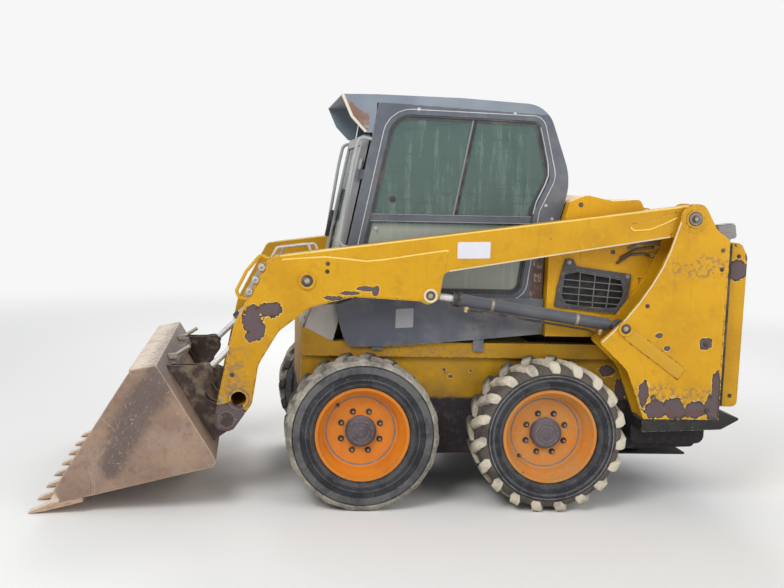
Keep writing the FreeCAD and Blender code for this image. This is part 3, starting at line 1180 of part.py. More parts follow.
def cylinders(side):
    """The four nodes of one side's lift and tilt cylinders."""
    lift_y = side * LIFT_Y
    lift_base = (LIFT_BASE_X, LIFT_BASE_Z)
    lift_tip = (LIFT_ROD_X, LIFT_ROD_Z)
    tilt_y = side * TILT_Y
    tilt_base = (KNEE_PIN_X, KNEE_PIN_Z)
    tilt_tip = (COUPLER_PIN_X + TILT_ROD_PIN_DX, COUPLER_PIN_Z + TILT_ROD_PIN_DZ)
    pair = {}
    pair["lift_barrel"] = barrel(lift_base, lift_tip, lift_y, LIFT_BARREL_RADIUS, LIFT_BARREL_LENGTH,
                                 LIFT_EYE_RADIUS, LIFT_EYE_WIDTH, LIFT_PIN_RADIUS, LIFT_ROD_RADIUS + 1.0,
                                 LIFT_BORE_START)
    pair["lift_rod"] = piston_rod(lift_base, lift_tip, lift_y, LIFT_ROD_START, LIFT_ROD_RADIUS,
                                  LIFT_EYE_RADIUS, LIFT_EYE_WIDTH, LIFT_PIN_RADIUS)
    pair["tilt_barrel"] = barrel(tilt_base, tilt_tip, tilt_y, TILT_BARREL_RADIUS, TILT_BARREL_LENGTH,
                                 TILT_EYE_RADIUS, TILT_EYE_WIDTH, TILT_PIN_RADIUS, TILT_ROD_RADIUS + 1.0,
                                 TILT_BORE_START)
    pair["tilt_rod"] = piston_rod(tilt_base, tilt_tip, tilt_y, TILT_ROD_START, TILT_ROD_RADIUS,
                                  TILT_EYE_RADIUS, TILT_EYE_WIDTH, TILT_PIN_RADIUS)
    return pair


def build():
    """Every node's name and shape."""
    nodes = {"main_frame": main_frame(), "axle_housings": axle_housings(), "engine_block": engine_block(),
             "engine_hood": engine_hood(), "rear_bumper": bumper(), "tail_lamps": tail_lamps(),
             "tailgate_hinges": tailgate_hinges(), "cross_tube": cross_tube(),
             "coupler_frame": coupler_frame(), "coupler_levers": coupler_levers(),
             "bucket_shell": bucket_shell(), "bucket_edge": bucket_edge(), "cab_roof": cab_roof(),
             "cab_front": cab_front(), "cab_rear": cab_rear(), "rear_glass": rear_glass(),
             "door_frame": door_frame(), "door_glass": door_glass(), "seat": seat(), "controls": controls(),
             "seat_bar": seat_bar(), "grab_bars": grab_bars(), "tailgate": tailgate(),
             "rear_screen": rear_screen()}
    wheels = {"front": (tyre(0.0), rim(0.0)), "rear": (tyre(WHEELBASE), rim(WHEELBASE))}
    for name, side in SIDES:
        nodes["upright_" + name] = upright(side)
        nodes["side_grille_" + name] = side_grille(side)
        nodes["side_panel_" + name] = side_panel(side)
        nodes["cab_side_" + name] = cab_side(side)
        nodes["side_glass_" + name] = side_glass(side)
        nodes["arm_" + name] = arm(side)
        nodes["tilt_bracket_" + name] = tilt_bracket(side)
        for kind, shape in cylinders(side).items():
            nodes[kind + "_" + name] = shape
        for place, pair in wheels.items():
            nodes["tyre_" + place + "_" + name] = mirrored(pair[0].copy(), side)
            nodes["rim_" + place + "_" + name] = mirrored(pair[1].copy(), side)
    nodes["hose_guard"] = hose_guard(nodes["arm_left"])
    nodes["quick_couplers"] = quick_couplers(nodes["arm_left"])
    nodes["boom_tubes"] = boom_tubes(nodes["arm_left"])
    return nodes


nodes = build()
front = min(shape.BoundBox.XMin for shape in nodes.values())
rear = max(shape.BoundBox.XMax for shape in nodes.values())
centre_shift = -(front + rear) / 2.0
os.makedirs("parts", exist_ok=True)
for name in sorted(nodes):
    shape = nodes[name]
    shape.translate(V(centre_shift, 0, 0))
    shape.exportStep("parts/" + name + ".step")
    print(name, len(shape.Solids), shape.isValid())
print("shift", round(centre_shift, 3), "front", round(front, 1), "rear", round(rear, 1))
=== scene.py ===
import bmesh
import bpy
import math
from mathutils import Euler, Matrix, Vector


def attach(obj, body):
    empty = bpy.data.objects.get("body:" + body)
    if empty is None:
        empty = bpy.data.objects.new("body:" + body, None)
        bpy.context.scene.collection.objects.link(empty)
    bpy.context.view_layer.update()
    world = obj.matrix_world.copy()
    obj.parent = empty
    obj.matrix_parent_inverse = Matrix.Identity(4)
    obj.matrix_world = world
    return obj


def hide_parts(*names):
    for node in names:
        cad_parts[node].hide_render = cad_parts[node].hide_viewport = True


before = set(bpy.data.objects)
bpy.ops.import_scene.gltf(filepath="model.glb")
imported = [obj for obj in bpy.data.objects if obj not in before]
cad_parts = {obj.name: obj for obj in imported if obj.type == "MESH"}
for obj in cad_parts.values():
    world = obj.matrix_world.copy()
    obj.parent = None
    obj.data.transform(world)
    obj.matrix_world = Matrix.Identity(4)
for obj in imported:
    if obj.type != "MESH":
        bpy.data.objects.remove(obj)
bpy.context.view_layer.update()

# Places are written in millimetres from the front axle, as the workshop drawing gives them.
# X runs from the bucket to the tailgate, Y from the machine's left to its right, Z up.
FRONT_AXLE_X = -0.147174
LEFT = -1
RIGHT = 1
SIDES = (("left", LEFT), ("right", RIGHT))

WHEELBASE = 900
AXLE_Z = 366
TYRE_RADIUS = 366
ARM_OUTER_Y = 613
UPRIGHT_OUTER_Y = 640
CAB_HALF_WIDTH = 430
HOOD_HALF_WIDTH = 480
PANEL_Y = 450


def at(x, y, z):
    """A place in metres from millimetres measured at the front axle."""
    return Vector((x / 1000 + FRONT_AXLE_X, y / 1000, z / 1000))


# ---- finishes


def linear(value):
    return value / 12.92 if value <= 0.04045 else ((value + 0.055) / 1.055) ** 2.4


def shade(red, green, blue):
    """A colour in linear light from the 0 to 255 values that a colour card gives."""
    return (linear(red / 255), linear(green / 255), linear(blue / 255), 1.0)


class Finish:
    """One material, built in layers: each layer covers the last where its mask is 1."""

    def __init__(self, name, colour, roughness=0.5, metallic=0.0):
        self.material = bpy.data.materials.new(name)
        self.material.use_nodes = True
        self.tree = self.material.node_tree
        self.shader = self.tree.nodes["Principled BSDF"]
        coordinates = self.tree.nodes.new("ShaderNodeTexCoord")
        self.place = coordinates.outputs["Object"]
        self.facing = coordinates.outputs["Normal"]
        self.colour = colour
        self.roughness = roughness
        self.metallic = metallic
        self.height = 0.0
        self.axes = None

    def node(self, kind, *values, **settings):
        made = self.tree.nodes.new(kind)
        for key, value in settings.items():
            setattr(made, key, value)
        for index, value in enumerate(values):
            if value is None:
                continue
            if isinstance(value, bpy.types.NodeSocket):
                self.tree.links.new(value, made.inputs[index])
            else:
                made.inputs[index].default_value = value
        return made

    def sum(self, a, b, operation="ADD"):
        return self.node("ShaderNodeMath", a, b, operation=operation).outputs[0]

    def both(self, a, b):
        return self.sum(a, b, "MULTIPLY")

    def either(self, a, b):
        return self.sum(a, b, "MAXIMUM")

    def step(self, value, low, high):
        """0 below low and 1 above high, or the other way round."""
        made = self.node("ShaderNodeMapRange", value, low, high, 0.0, 1.0, interpolation_type="SMOOTHSTEP")
        return made.outputs[0]

    def noise(self, scale, detail=4.0, stretch=(1, 1, 1), shift=0.0, roughness=0.55):
        moved = self.node("ShaderNodeMapping", self.place, (shift, shift * 0.7, shift * 1.3), (0, 0, 0), stretch)
        made = self.node("ShaderNodeTexNoise", noise_dimensions="3D")
        self.tree.links.new(moved.outputs[0], made.inputs["Vector"])
        made.inputs["Scale"].default_value = scale
        made.inputs["Detail"].default_value = detail
        made.inputs["Roughness"].default_value = roughness
        return made.outputs[0]

    def axis(self, index):
        if self.axes is None:
            self.axes = self.node("ShaderNodeSeparateXYZ", self.place).outputs
        return self.axes[index]

    def upward(self):
        return self.step(self.node("ShaderNodeSeparateXYZ", self.facing).outputs[2], 0.5, 0.95)

    def edges(self, width, low=0.04, high=0.35):
        """1 along the piece's sharp edges, over a band of the given width in metres."""
        rounded = self.node("ShaderNodeBevel", width, samples=4).outputs[0]
        true = self.node("ShaderNodeNewGeometry").outputs["True Normal"]
        turned = self.node("ShaderNodeVectorMath", rounded, true, operation="DOT_PRODUCT").outputs["Value"]
        return self.step(self.sum(1.0, turned, "SUBTRACT"), low, high)

    def spot(self, x, y, z, rx, ry, rz, ragged, rim=0.12, reach=0.9):
        """1 inside an ellipsoid at a place, with a ragged rim."""
        away = self.node("ShaderNodeVectorMath", self.place, at(x, y, z), operation="SUBTRACT").outputs[0]
        away = self.node("ShaderNodeVectorMath", away, (rx / 1000, ry / 1000, rz / 1000), operation="DIVIDE")
        away = self.node("ShaderNodeVectorMath", away.outputs[0], operation="LENGTH").outputs["Value"]
        away = self.sum(away, self.both(self.sum(ragged, 0.5, "SUBTRACT"), reach), "ADD")
        return self.step(away, 1.0 + rim, 1.0 - rim)

    def cover(self, mask, colour=None, roughness=None, metallic=None, height=None):
        if colour is not None:
            made = self.tree.nodes.new("ShaderNodeMix")
            made.data_type = "RGBA"
            self.tree.links.new(mask, made.inputs[0])
            for index, value in ((6, self.colour), (7, colour)):
                if isinstance(value, bpy.types.NodeSocket):
                    self.tree.links.new(value, made.inputs[index])
                else:
                    made.inputs[index].default_value = value
            self.colour = made.outputs[2]
        for key, value in (("roughness", roughness), ("metallic", metallic), ("height", height)):
            if value is not None:
                made = self.node("ShaderNodeMix", mask, None, getattr(self, key), value)
                setattr(self, key, made.outputs[0])
        return self

    def done(self, relief=0.0, distance=0.002, **sockets):
        for key, value in (("Base Color", self.colour), ("Roughness", self.roughness), ("Metallic", self.metallic)):
            if isinstance(value, bpy.types.NodeSocket):
                self.tree.links.new(value, self.shader.inputs[key])
            else:
                self.shader.inputs[key].default_value = value
        if relief:
            bump = self.tree.nodes.new("ShaderNodeBump")
            bump.inputs["Strength"].default_value = relief
            bump.inputs["Distance"].default_value = distance
            self.tree.links.new(self.height, bump.inputs["Height"])
            self.tree.links.new(bump.outputs[0], self.shader.inputs["Normal"])
        for key, value in sockets.items():
            self.shader.inputs[key.replace("_", " ")].default_value = value
        return self.material


RUST = shade(104, 70, 50)
BARED = shade(98, 84, 86)
BARED_RIM = shade(66, 52, 50)
DUST = shade(176, 158, 132)
GRIME = shade(92, 76, 52)
PRIMER = shade(236, 202, 116)


def yellow_paint(name, spots=(), scuffs=(), grime=0.5, grime_top=900, chips=0.5, tone=0.0, grime_shade_top=None):
    """Worn machine yellow. Spots are bared places, scuffs thinly worn ones, and below grime_shade_top a dark band of
    grime and painted shade covers what is low.
    """
    finish = Finish(name, shade(220 + tone, 163 + tone * 0.7, 12), 0.46)
    broad = finish.noise(2.6, 4.0)
    fine = finish.noise(38.0, 5.0, shift=3.0)
    grain = finish.noise(420.0, 2.0)
    finish.height = finish.both(grain, 0.18)
    finish.cover(finish.step(broad, 0.4, 0.66), shade(206 + tone, 150 + tone * 0.7, 14), 0.52)
    finish.cover(finish.both(finish.step(fine, 0.5, 0.8), 0.4), shade(230 + tone, 178 + tone * 0.7, 38), 0.4)
    mottle = finish.noise(13.0, 6.0, shift=17.0, roughness=0.7)
    finish.cover(finish.both(finish.step(mottle, 0.52, 0.68), 0.45), shade(190 + tone, 140 + tone * 0.7, 24), 0.58)
    streaks = finish.noise(9.0, 5.0, stretch=(6.0, 6.0, 0.5), shift=8.0)
    finish.cover(finish.both(finish.step(streaks, 0.56, 0.8), 0.35), shade(156, 112, 34), 0.6)
    scratch = finish.noise(14.0, 6.0, stretch=(1.2, 3.0, 9.0), shift=5.0, roughness=0.75)
    finish.cover(finish.both(finish.step(scratch, 0.66, 0.7), 0.55), shade(150, 108, 44), 0.6)
    low = finish.step(finish.axis(2), grime_top / 1000, grime_top / 1000 - 0.5)
    dirty = finish.both(finish.both(low, finish.step(finish.noise(7.0, 6.0, shift=1.0), 0.3, 0.7)), grime)
    finish.cover(dirty, GRIME, 0.75)
    finish.cover(finish.both(finish.upward(), 0.2), DUST, 0.8)
    edge = finish.edges(0.007)
    # Pale yellow along the sharp edges: painted highlight.
    finish.cover(finish.both(edge, 0.45), shade(246, 206, 96), 0.4)
    speck = finish.noise(55.0, 5.0, shift=11.0)
    chipped = finish.both(edge, finish.step(speck, 0.62 - 0.2 * chips, 0.68 - 0.2 * chips))
    flecks = finish.step(finish.noise(34.0, 4.0, shift=21.0), 0.735 - 0.04 * chips, 0.75 - 0.04 * chips)
    bare = finish.either(chipped, finish.both(flecks, 0.9))
    for x, y, z, rx, ry, rz in scuffs:
        worn = finish.both(finish.spot(x, y, z, rx, ry, rz, broad, 0.3), finish.step(speck, 0.5, 0.58))
        finish.cover(finish.both(worn, 0.7), shade(140, 112, 82), 0.7)
    rough_rim = finish.sum(finish.both(fine, 0.5), finish.both(mottle, 0.5))
    for x, y, z, rx, ry, rz in spots:
        pale = finish.spot(x, y, z, rx * 1.03 + 1.8, ry, rz * 1.03 + 1.8, rough_rim, 0.03, 2.4)
        finish.cover(finish.both(pale, finish.step(speck, 0.36, 0.56)), PRIMER, 0.5, height=0.0)
    rims = None
    for x, y, z, rx, ry, rz in spots:
        bare = finish.either(bare, finish.spot(x, y, z, rx, ry, rz, rough_rim, 0.03, 2.4))
        inside = finish.spot(x, y, z, rx * 0.88, ry, rz * 0.84, rough_rim, 0.14, 2.4)
        rims = inside if rims is None else finish.either(rims, inside)
    finish.cover(bare, BARED_RIM, 0.72, 0.1, -0.9)
    if rims is not None:
        finish.cover(rims, BARED, 0.62, 0.3, -1.0)
        marks = finish.noise(10.0, 7.0, stretch=(1.0, 1.0, 6.0), shift=41.0, roughness=0.8)
        finish.cover(finish.both(rims, finish.step(marks, 0.62, 0.67)), shade(196, 190, 188), 0.4, 0.5)
    rusty = finish.step(finish.noise(16.0, 5.0, shift=31.0), 0.5, 0.66)
    finish.cover(finish.both(finish.both(bare, rusty), 0.55), RUST, 0.82, 0.0, -0.7)
    # A dark band low on the piece: partly grime, partly painted shade under the frame.
    if grime_shade_top is not None:
        ragged = finish.both(finish.sum(fine, broad), 0.035)
        grime_and_shade = finish.step(finish.sum(finish.axis(2), ragged), grime_shade_top / 1000 + 0.045, grime_shade_top / 1000 + 0.025)
        finish.cover(grime_and_shade, shade(48, 43, 45), 0.8, 0.0)
        finish.cover(finish.both(grime_and_shade, finish.step(fine, 0.5, 0.72)), shade(70, 62, 60), 0.85)
    return finish.done(0.35, 0.0012, Specular_IOR_Level=0.32)


def orange_paint(name, dusty):
    finish = Finish(name, shade(222, 128, 20), 0.44)
    fine = finish.noise(46.0, 5.0)
    broad = finish.noise(6.0, 4.0, shift=2.0)
    finish.height = finish.both(finish.noise(360.0, 2.0), 0.2)
    finish.cover(finish.step(broad, 0.4, 0.7), shade(204, 114, 20), 0.5)
    finish.cover(finish.both(finish.step(broad, 0.1, 0.6), dusty), shade(196, 140, 74), 0.75)
    finish.cover(finish.both(finish.step(fine, 0.45, 0.75), 0.35 * dusty + 0.12), DUST, 0.8)
    edge = finish.edges(0.005)
    finish.cover(finish.both(edge, finish.step(fine, 0.52, 0.6)), shade(120, 76, 44), 0.7, height=-0.8)
    chips = finish.step(finish.noise(60.0, 4.0, shift=9.0), 0.7, 0.72)
    finish.cover(chips, shade(96, 66, 50), 0.75, height=-0.8)
    return finish.done(0.3, 0.001, Specular_IOR_Level=0.35)


def grey_paint(name, base, worn, roughness, dust=0.3, rusted=()):
    """Dark cab and cover paint with dust in its texture, pale rubbed edges and places gone to rust."""
    finish = Finish(name, base, roughness)
    fine = finish.noise(52.0, 5.0)
    broad = finish.noise(3.1, 4.0, shift=4.0)
    finish.height = finish.both(finish.noise(300.0, 3.0), 0.35)
    finish.cover(finish.step(broad, 0.38, 0.68), worn, roughness + 0.1)
    cloud = finish.noise(6.0, 6.0, stretch=(1.0, 1.0, 1.4), shift=6.0, roughness=0.68)
    finish.cover(finish.both(finish.step(cloud, 0.45, 0.75), dust), shade(150, 146, 138), 0.7)
    finish.cover(finish.both(finish.upward(), 0.35), shade(150, 150, 150), 0.6)
    edge = finish.edges(0.006)
    finish.cover(finish.both(edge, finish.step(fine, 0.42, 0.6)), shade(158, 156, 152), 0.5, height=0.3)
    scratch = finish.noise(16.0, 6.0, stretch=(1.0, 3.0, 11.0), shift=2.0, roughness=0.75)
    finish.cover(finish.both(finish.step(scratch, 0.67, 0.7), 0.5), shade(168, 164, 158), 0.55)
    for x, y, z, rx, ry, rz in rusted:
        brown = finish.spot(x, y, z, rx, ry, rz, fine, 0.2)
        finish.cover(finish.both(brown, 0.9), shade(104, 78, 66), 0.8, height=-0.3)
        pale = finish.noise(44.0, 6.0, stretch=(1.0, 1.0, 0.5), shift=23.0, roughness=0.75)
        finish.cover(finish.both(brown, finish.step(pale, 0.54, 0.62)), shade(172, 156, 148), 0.6)
    return finish.done(0.3, 0.001, Specular_IOR_Level=0.4)


BUCKET_BAND = ((-975, 600, 84, 60), (-1005, 550, 80, 60), (-1035, 500, 82, 60), (-1062, 452, 80, 62),
               (-1090, 402, 76, 64), (-1118, 350, 70, 64), (-1145, 296, 58, 66), (-1170, 240, 46, 66),
               (-950, 660, 66, 50))


def bucket_steel(name, base, pale, band):
    """Bare bucket plate: brown rust, dried earth, bright scratches, painted light on the faces that point up, and a
    dark band where earth slides.
    """
    finish = Finish(name, base, 0.7, 0.1)
    broad = finish.noise(4.5, 5.0)
    fine = finish.noise(40.0, 6.0, shift=3.0, roughness=0.65)
    finish.height = finish.sum(finish.both(fine, 0.7), finish.both(finish.noise(180.0, 3.0), 0.35))
    finish.cover(finish.both(finish.step(broad, 0.36, 0.62), 0.6), pale, 0.66, 0.12)
    finish.cover(finish.both(finish.step(fine, 0.46, 0.7), 0.5), shade(112, 84, 66), 0.82, 0.0)
    earth = finish.step(finish.noise(9.0, 5.0, shift=7.0), 0.5, 0.66)
    finish.cover(finish.both(earth, 0.4), shade(170, 142, 116), 0.9, 0.0)
    # Faces that point up are much paler: painted light.
    finish.cover(finish.both(finish.upward(), 0.88), shade(232, 216, 198), 0.8)
    crusted = finish.both(finish.upward(), finish.step(finish.noise(26.0, 6.0, shift=61.0, roughness=0.75), 0.52, 0.6))
    finish.cover(finish.both(crusted, 0.42), shade(150, 122, 98), 0.85)
    if band:
        ragged = finish.sum(finish.both(fine, 0.7), finish.both(broad, 0.3))
        dark = None
        for x, z, rx, rz in BUCKET_BAND:
            inside = finish.spot(x, 0, z, rx, 4000, rz, ragged, 0.4, 2.4)
            dark = inside if dark is None else finish.either(dark, inside)
        finish.cover(finish.both(dark, 0.75), shade(88, 76, 74), 0.6, 0.2)
        rubbed = finish.noise(64.0, 7.0, stretch=(1.4, 1.0, 0.8), shift=51.0, roughness=0.8)
        finish.cover(finish.both(dark, finish.step(rubbed, 0.56, 0.66)), shade(158, 158, 160), 0.45, 0.3)
    scratch = finish.noise(12.0, 7.0, stretch=(1.0, 1.0, 8.0), shift=4.0, roughness=0.8)
    finish.cover(finish.both(finish.step(scratch, 0.62, 0.67), 0.6), shade(206, 194, 180), 0.45, 0.3)
    crossed = finish.noise(10.0, 7.0, stretch=(9.0, 1.0, 1.5), shift=13.0, roughness=0.8)
    finish.cover(finish.both(finish.step(crossed, 0.64, 0.68), 0.5), shade(84, 62, 52), 0.7, 0.1)
    finish.cover(finish.both(finish.edges(0.012), finish.step(fine, 0.3, 0.6)), shade(214, 190, 166), 0.4, 0.3)
    return finish.done(0.5, 0.002)


def bare_steel(name, colour, roughness, metallic, rust=0.3, relief=0.25):
    finish = Finish(name, colour, roughness, metallic)
    fine = finish.noise(70.0, 5.0)
    finish.height = finish.both(fine, 0.6)
    finish.cover(finish.both(finish.step(fine, 0.45, 0.7), rust), RUST, 0.8, 0.0)
    finish.cover(finish.both(finish.step(finish.noise(18.0, 4.0, shift=5.0), 0.45, 0.7), 0.35), DUST, 0.75, 0.0)
    return finish.done(relief, 0.001)


def rubber(name, bands, dust_shade_split=0.0, axles=(0, 900)):
    """Tyre rubber with pale rings, of dust and one of painted highlight: each band runs from a radius to a radius, in a
    colour, so strongly.
    """
    finish = Finish(name, shade(32, 32, 37), 0.72)
    fine = finish.noise(60.0, 5.0)
    broad = finish.noise(12.0, 5.0, shift=2.0, roughness=0.65)
    finish.height = finish.sum(finish.both(fine, 0.5), finish.both(finish.noise(240.0, 2.0), 0.3))
    flat = finish.node("ShaderNodeVectorMath", finish.place, (1.0, 0.0, 1.0), operation="MULTIPLY").outputs[0]
    nearest = None
    for axle_x in axles:
        away = finish.node("ShaderNodeVectorMath", flat, at(axle_x, 0, AXLE_Z), operation="DISTANCE").outputs["Value"]
        nearest = away if nearest is None else finish.sum(nearest, away, "MINIMUM")
    finish.cover(finish.both(finish.step(broad, 0.4, 0.7), 0.5), shade(52, 53, 58), 0.8)
    ripple = finish.sum(finish.both(nearest, 2 * math.pi / 0.0065), 0.0, "SINE")
    lines_seen = finish.both(finish.step(ripple, 0.2, 1.0), finish.step(broad, 0.4, 0.62))
    finish.cover(finish.both(lines_seen, 0.34), shade(110, 112, 114), 0.8, height=0.8)
    wobble = finish.sum(nearest, finish.both(finish.sum(fine, 0.5, "SUBTRACT"), 0.008))
    for low, high, colour, strength in bands:
        inside = finish.both(finish.step(wobble, low / 1000 - 0.002, low / 1000 + 0.002),
                             finish.step(wobble, high / 1000 + 0.002, high / 1000 - 0.002))
        worn = finish.sum(0.45, finish.both(finish.step(broad, 0.35, 0.6), 0.55))
        finish.cover(finish.both(finish.both(inside, worn), strength), colour, 0.88)
    finish.cover(finish.both(finish.step(fine, 0.55, 0.75), 0.22), shade(132, 126, 116), 0.9)
    patch = finish.step(finish.noise(5.0, 5.0, shift=15.0), 0.55, 0.7)
    finish.cover(finish.both(patch, 0.18), shade(104, 99, 92), 0.88)
    # Inboard of dust_shade_split the lugs go near black: painted shade on the tread's inner half, with less dust there.
    # The tan dust stays outboard.
    if dust_shade_split:
        across = finish.sum(finish.axis(1), 0.0, "ABSOLUTE")
        shaded = finish.step(across, dust_shade_split / 1000 + 0.05, dust_shade_split / 1000 - 0.05)
        finish.cover(finish.both(shaded, 0.85), shade(40, 40, 42), 0.8)
    return finish.done(0.45, 0.0018, Specular_IOR_Level=0.35)


def cab_glass(name):
    finish = Finish(name, shade(86, 108, 102), 0.1)
    streak = finish.noise(6.0, 5.0, stretch=(5.0, 1.0, 0.5), roughness=0.7)
    drawn = finish.noise(7.0, 5.0, stretch=(0.5, 1.0, 6.0), shift=4.0, roughness=0.7)
    finish.height = finish.both(streak, 0.2)
    finish.cover(finish.both(finish.step(streak, 0.48, 0.66), 0.5), shade(126, 146, 138), 0.2)
    finish.cover(finish.both(finish.step(drawn, 0.52, 0.7), 0.55), shade(58, 76, 72), 0.14)
    # The lower part of the glass is lighter: painted reflection.
    below = finish.step(finish.axis(2), 1.37, 1.33)
    finish.cover(finish.both(below, 0.85), shade(184, 188, 176), 0.3)
    finish.material.surface_render_method = "BLENDED"
    return finish.done(0.03, 0.001, Alpha=0.7)


def plain_plastic(name, colour, roughness, grain=260.0, dust=0.25):
    finish = Finish(name, colour, roughness)
    fine = finish.noise(grain, 3.0)
    finish.height = fine
    finish.cover(finish.both(finish.step(finish.noise(14.0, 5.0, shift=3.0), 0.45, 0.75), dust), DUST, 0.8)
    return finish.done(0.25, 0.0008)


def lamp_lens(name, colour):
    finish = Finish(name, colour, 0.18)
    ribs = finish.noise(30.0, 2.0, stretch=(1.0, 6.0, 1.0))
    finish.height = ribs
    finish.cover(finish.both(finish.step(ribs, 0.4, 0.8), 0.3), DUST, 0.5)
    return finish.done(0.4, 0.001)


boom_yellow = yellow_paint(
    "boom_yellow",
    spots=((-528, -613, 905, 46, 60, 66), (-505, -613, 850, 36, 60, 50), (-450, -613, 952, 54, 60, 34),
           (-535, -613, 820, 24, 60, 24), (-150, -613, 1012, 46, 60, 11), (-75, -613, 1036, 48, 60, 11),
           (0, -613, 1058, 48, 60, 11), (48, -613, 1050, 14, 60, 24), (-655, -613, 430, 114, 200, 76),
           (-650, 613, 430, 114, 200, 76), (-420, 613, 930, 60, 60, 40)),
    scuffs=((-600, -613, 640, 70, 60, 170), (-640, -613, 520, 80, 60, 90), (-500, 613, 860, 120, 60, 180),
            (900, 613, 1300, 240, 60, 60)),
    grime=0.35, grime_top=900, chips=0.45, tone=-14)
upright_yellow = yellow_paint(
    "upright_yellow",
    spots=((1635, -640, 822, 34, 60, 27), (1700, -640, 600, 22, 60, 90), (1690, -640, 520, 44, 60, 66),
           (1600, -640, 500, 66, 60, 40), (1500, -640, 506, 70, 60, 52), (1410, -640, 500, 60, 60, 46),
           (1345, -640, 580, 24, 60, 66), (1407, -640, 858, 15, 60, 13), (1451, -640, 799, 18, 60, 13),
           (1480, 640, 520, 120, 60, 50), (1650, 640, 500, 90, 60, 60)),
    scuffs=((1580, -640, 1190, 170, 60, 56), (1500, -640, 560, 300, 60, 60), (1560, 640, 1150, 150, 60, 80)),
    grime=0.35, grime_top=700, chips=0.55, tone=-9)
hood_yellow = yellow_paint("hood_yellow", grime=0.4, grime_top=1000, chips=0.3)
# The frame's paint is a darker copy of the machine yellow (tone -34): painted shade on the recessed frame. Its four
# small spots paint small holes as dark marks, which is painted shade. The long scuff just under the top rail paints the
# shade beneath the rail.
frame_yellow_shaded = yellow_paint(
    "frame_yellow_shaded",
    spots=((430, -428, 640, 10, 60, 10), (466, -428, 604, 8, 60, 8), (455, -428, 604, 5, 60, 8),
           (560, -428, 634, 8, 60, 7), (1250, -428, 640, 44, 60, 30), (1330, -428, 560, 40, 60, 80)),
    scuffs=((250, -428, 735, 500, 90, 26),), grime=0.7, grime_top=900, chips=0.6, tone=-34, grime_shade_top=498)
tail_yellow = yellow_paint("tail_yellow", spots=((1795, -575, 1172, 60, 40, 44), (1842, -560, 1240, 14, 40, 26)),
                           scuffs=((1840, 0, 640, 60, 500, 90),), grime=0.4, grime_top=700, chips=0.6, tone=-18)
# Pale yellows for the thin pipes along folded and rolled edges: painted highlights. pale_edge also colours the lift rod
# pin's collar.
bent_highlight_yellow = grey_paint("bent_highlight_yellow", shade(248, 206, 84), shade(250, 218, 118), 0.4, 0.1)
pale_edge = grey_paint("pale_edge", shade(226, 206, 160), shade(214, 198, 170), 0.45, 0.2)
rib_yellow = plain_plastic("rib_yellow", shade(200, 150, 14), 0.5, 300.0, 0.1)
front_orange = orange_paint("front_orange", 0.12)
rear_orange = orange_paint("rear_orange", 0.75)
cab_grey = grey_paint("cab_grey", shade(84, 88, 98), shade(98, 102, 112), 0.42,
                      rusted=((866, -450, 1075, 34, 80, 135), (866, 450, 1075, 34, 80, 135)))
# The roof's lighter, bluer copy of the cab grey: painted sky reflection.
roof_sky_reflection_grey = grey_paint("roof_sky_reflection_grey", shade(120, 130, 142), shade(134, 144, 154), 0.4)
door_grey = grey_paint("door_grey", shade(150, 150, 154), shade(176, 176, 176), 0.4, 0.4)
panel_black = grey_paint("panel_black", shade(80, 83, 94), shade(112, 114, 120), 0.55, 0.5)
grille_black = grey_paint("grille_black", shade(66, 64, 66), shade(84, 82, 84), 0.55, 0.3)
bumper_black = grey_paint("bumper_black", shade(28, 27, 27), shade(38, 35, 34), 0.6, 0.1)
step_grey = grey_paint("step_grey", shade(156, 152, 150), shade(190, 184, 180), 0.55, 0.3)
lamp_grey = grey_paint("lamp_grey", shade(112, 108, 112), shade(140, 136, 138), 0.5, 0.3)
bucket_brown = bucket_steel("bucket_brown", shade(140, 115, 99), shade(162, 140, 124), True)
edge_steel = bucket_steel("edge_steel", shade(176, 144, 120), shade(206, 176, 150), False)
coupler_steel = bare_steel("coupler_steel", shade(62, 52, 48), 0.62, 0.3, 0.45)
lever_steel = bare_steel("lever_steel", shade(176, 164, 150), 0.5, 0.3, 0.25)
rod_steel = bare_steel("rod_steel", shade(222, 222, 222), 0.26, 0.4, 0.05, 0.05)
pin_steel = bare_steel("pin_steel", shade(150, 142, 134), 0.42, 0.5, 0.3)
dark_steel = bare_steel("dark_steel", shade(62, 58, 60), 0.55, 0.4, 0.3)
barrel_grey = grey_paint("barrel_grey", shade(70, 73, 80), shade(88, 89, 93), 0.36, 0.15)
barrel_pale = grey_paint("barrel_pale", shade(190, 188, 188), shade(210, 208, 206), 0.4, 0.15)
engine_black = grey_paint("engine_black", shade(42, 40, 40), shade(54, 50, 48), 0.6, 0.3)
front_rubber = rubber("front_rubber", ((336, 380, shade(156, 149, 136), 0.9), (299, 331, shade(104, 104, 104), 0.8),
                                       (268, 271, shade(120, 120, 122), 0.7), (232, 250, shade(96, 96, 98), 0.5)))
# The rear sidewall's ring from 273 to 284 mm is a painted highlight on its ridge.
rear_rubber = rubber("rear_rubber", ((308, 380, shade(98, 90, 82), 0.9), (296, 300, shade(150, 148, 142), 0.7),
                                     (273, 284, shade(104, 104, 106), 0.6), (232, 250, shade(96, 96, 98), 0.5)))
lug_tan = rubber("lug_tan", ((300, 380, shade(204, 193, 174), 1.0), (300, 380, shade(216, 206, 186), 0.4)), 520)
lug_worn = rubber("lug_worn", ((300, 380, shade(160, 154, 142), 1.0), (300, 380, shade(180, 172, 160), 0.4)), 520)
hub_dark = grey_paint("hub_dark", shade(74, 66, 72), shade(98, 88, 92), 0.5, 0.3)
weld_steel = bare_steel("weld_steel", shade(128, 118, 114), 0.55, 0.35, 0.25)
coupling_steel = bare_steel("coupling_steel", shade(188, 180, 174), 0.45, 0.3, 0.2)
brass = bare_steel("brass", shade(196, 172, 122), 0.4, 0.4, 0.1)
glass = cab_glass("cab_glass")
seat_vinyl = plain_plastic("seat_vinyl", shade(44, 44, 46), 0.55, 320.0)
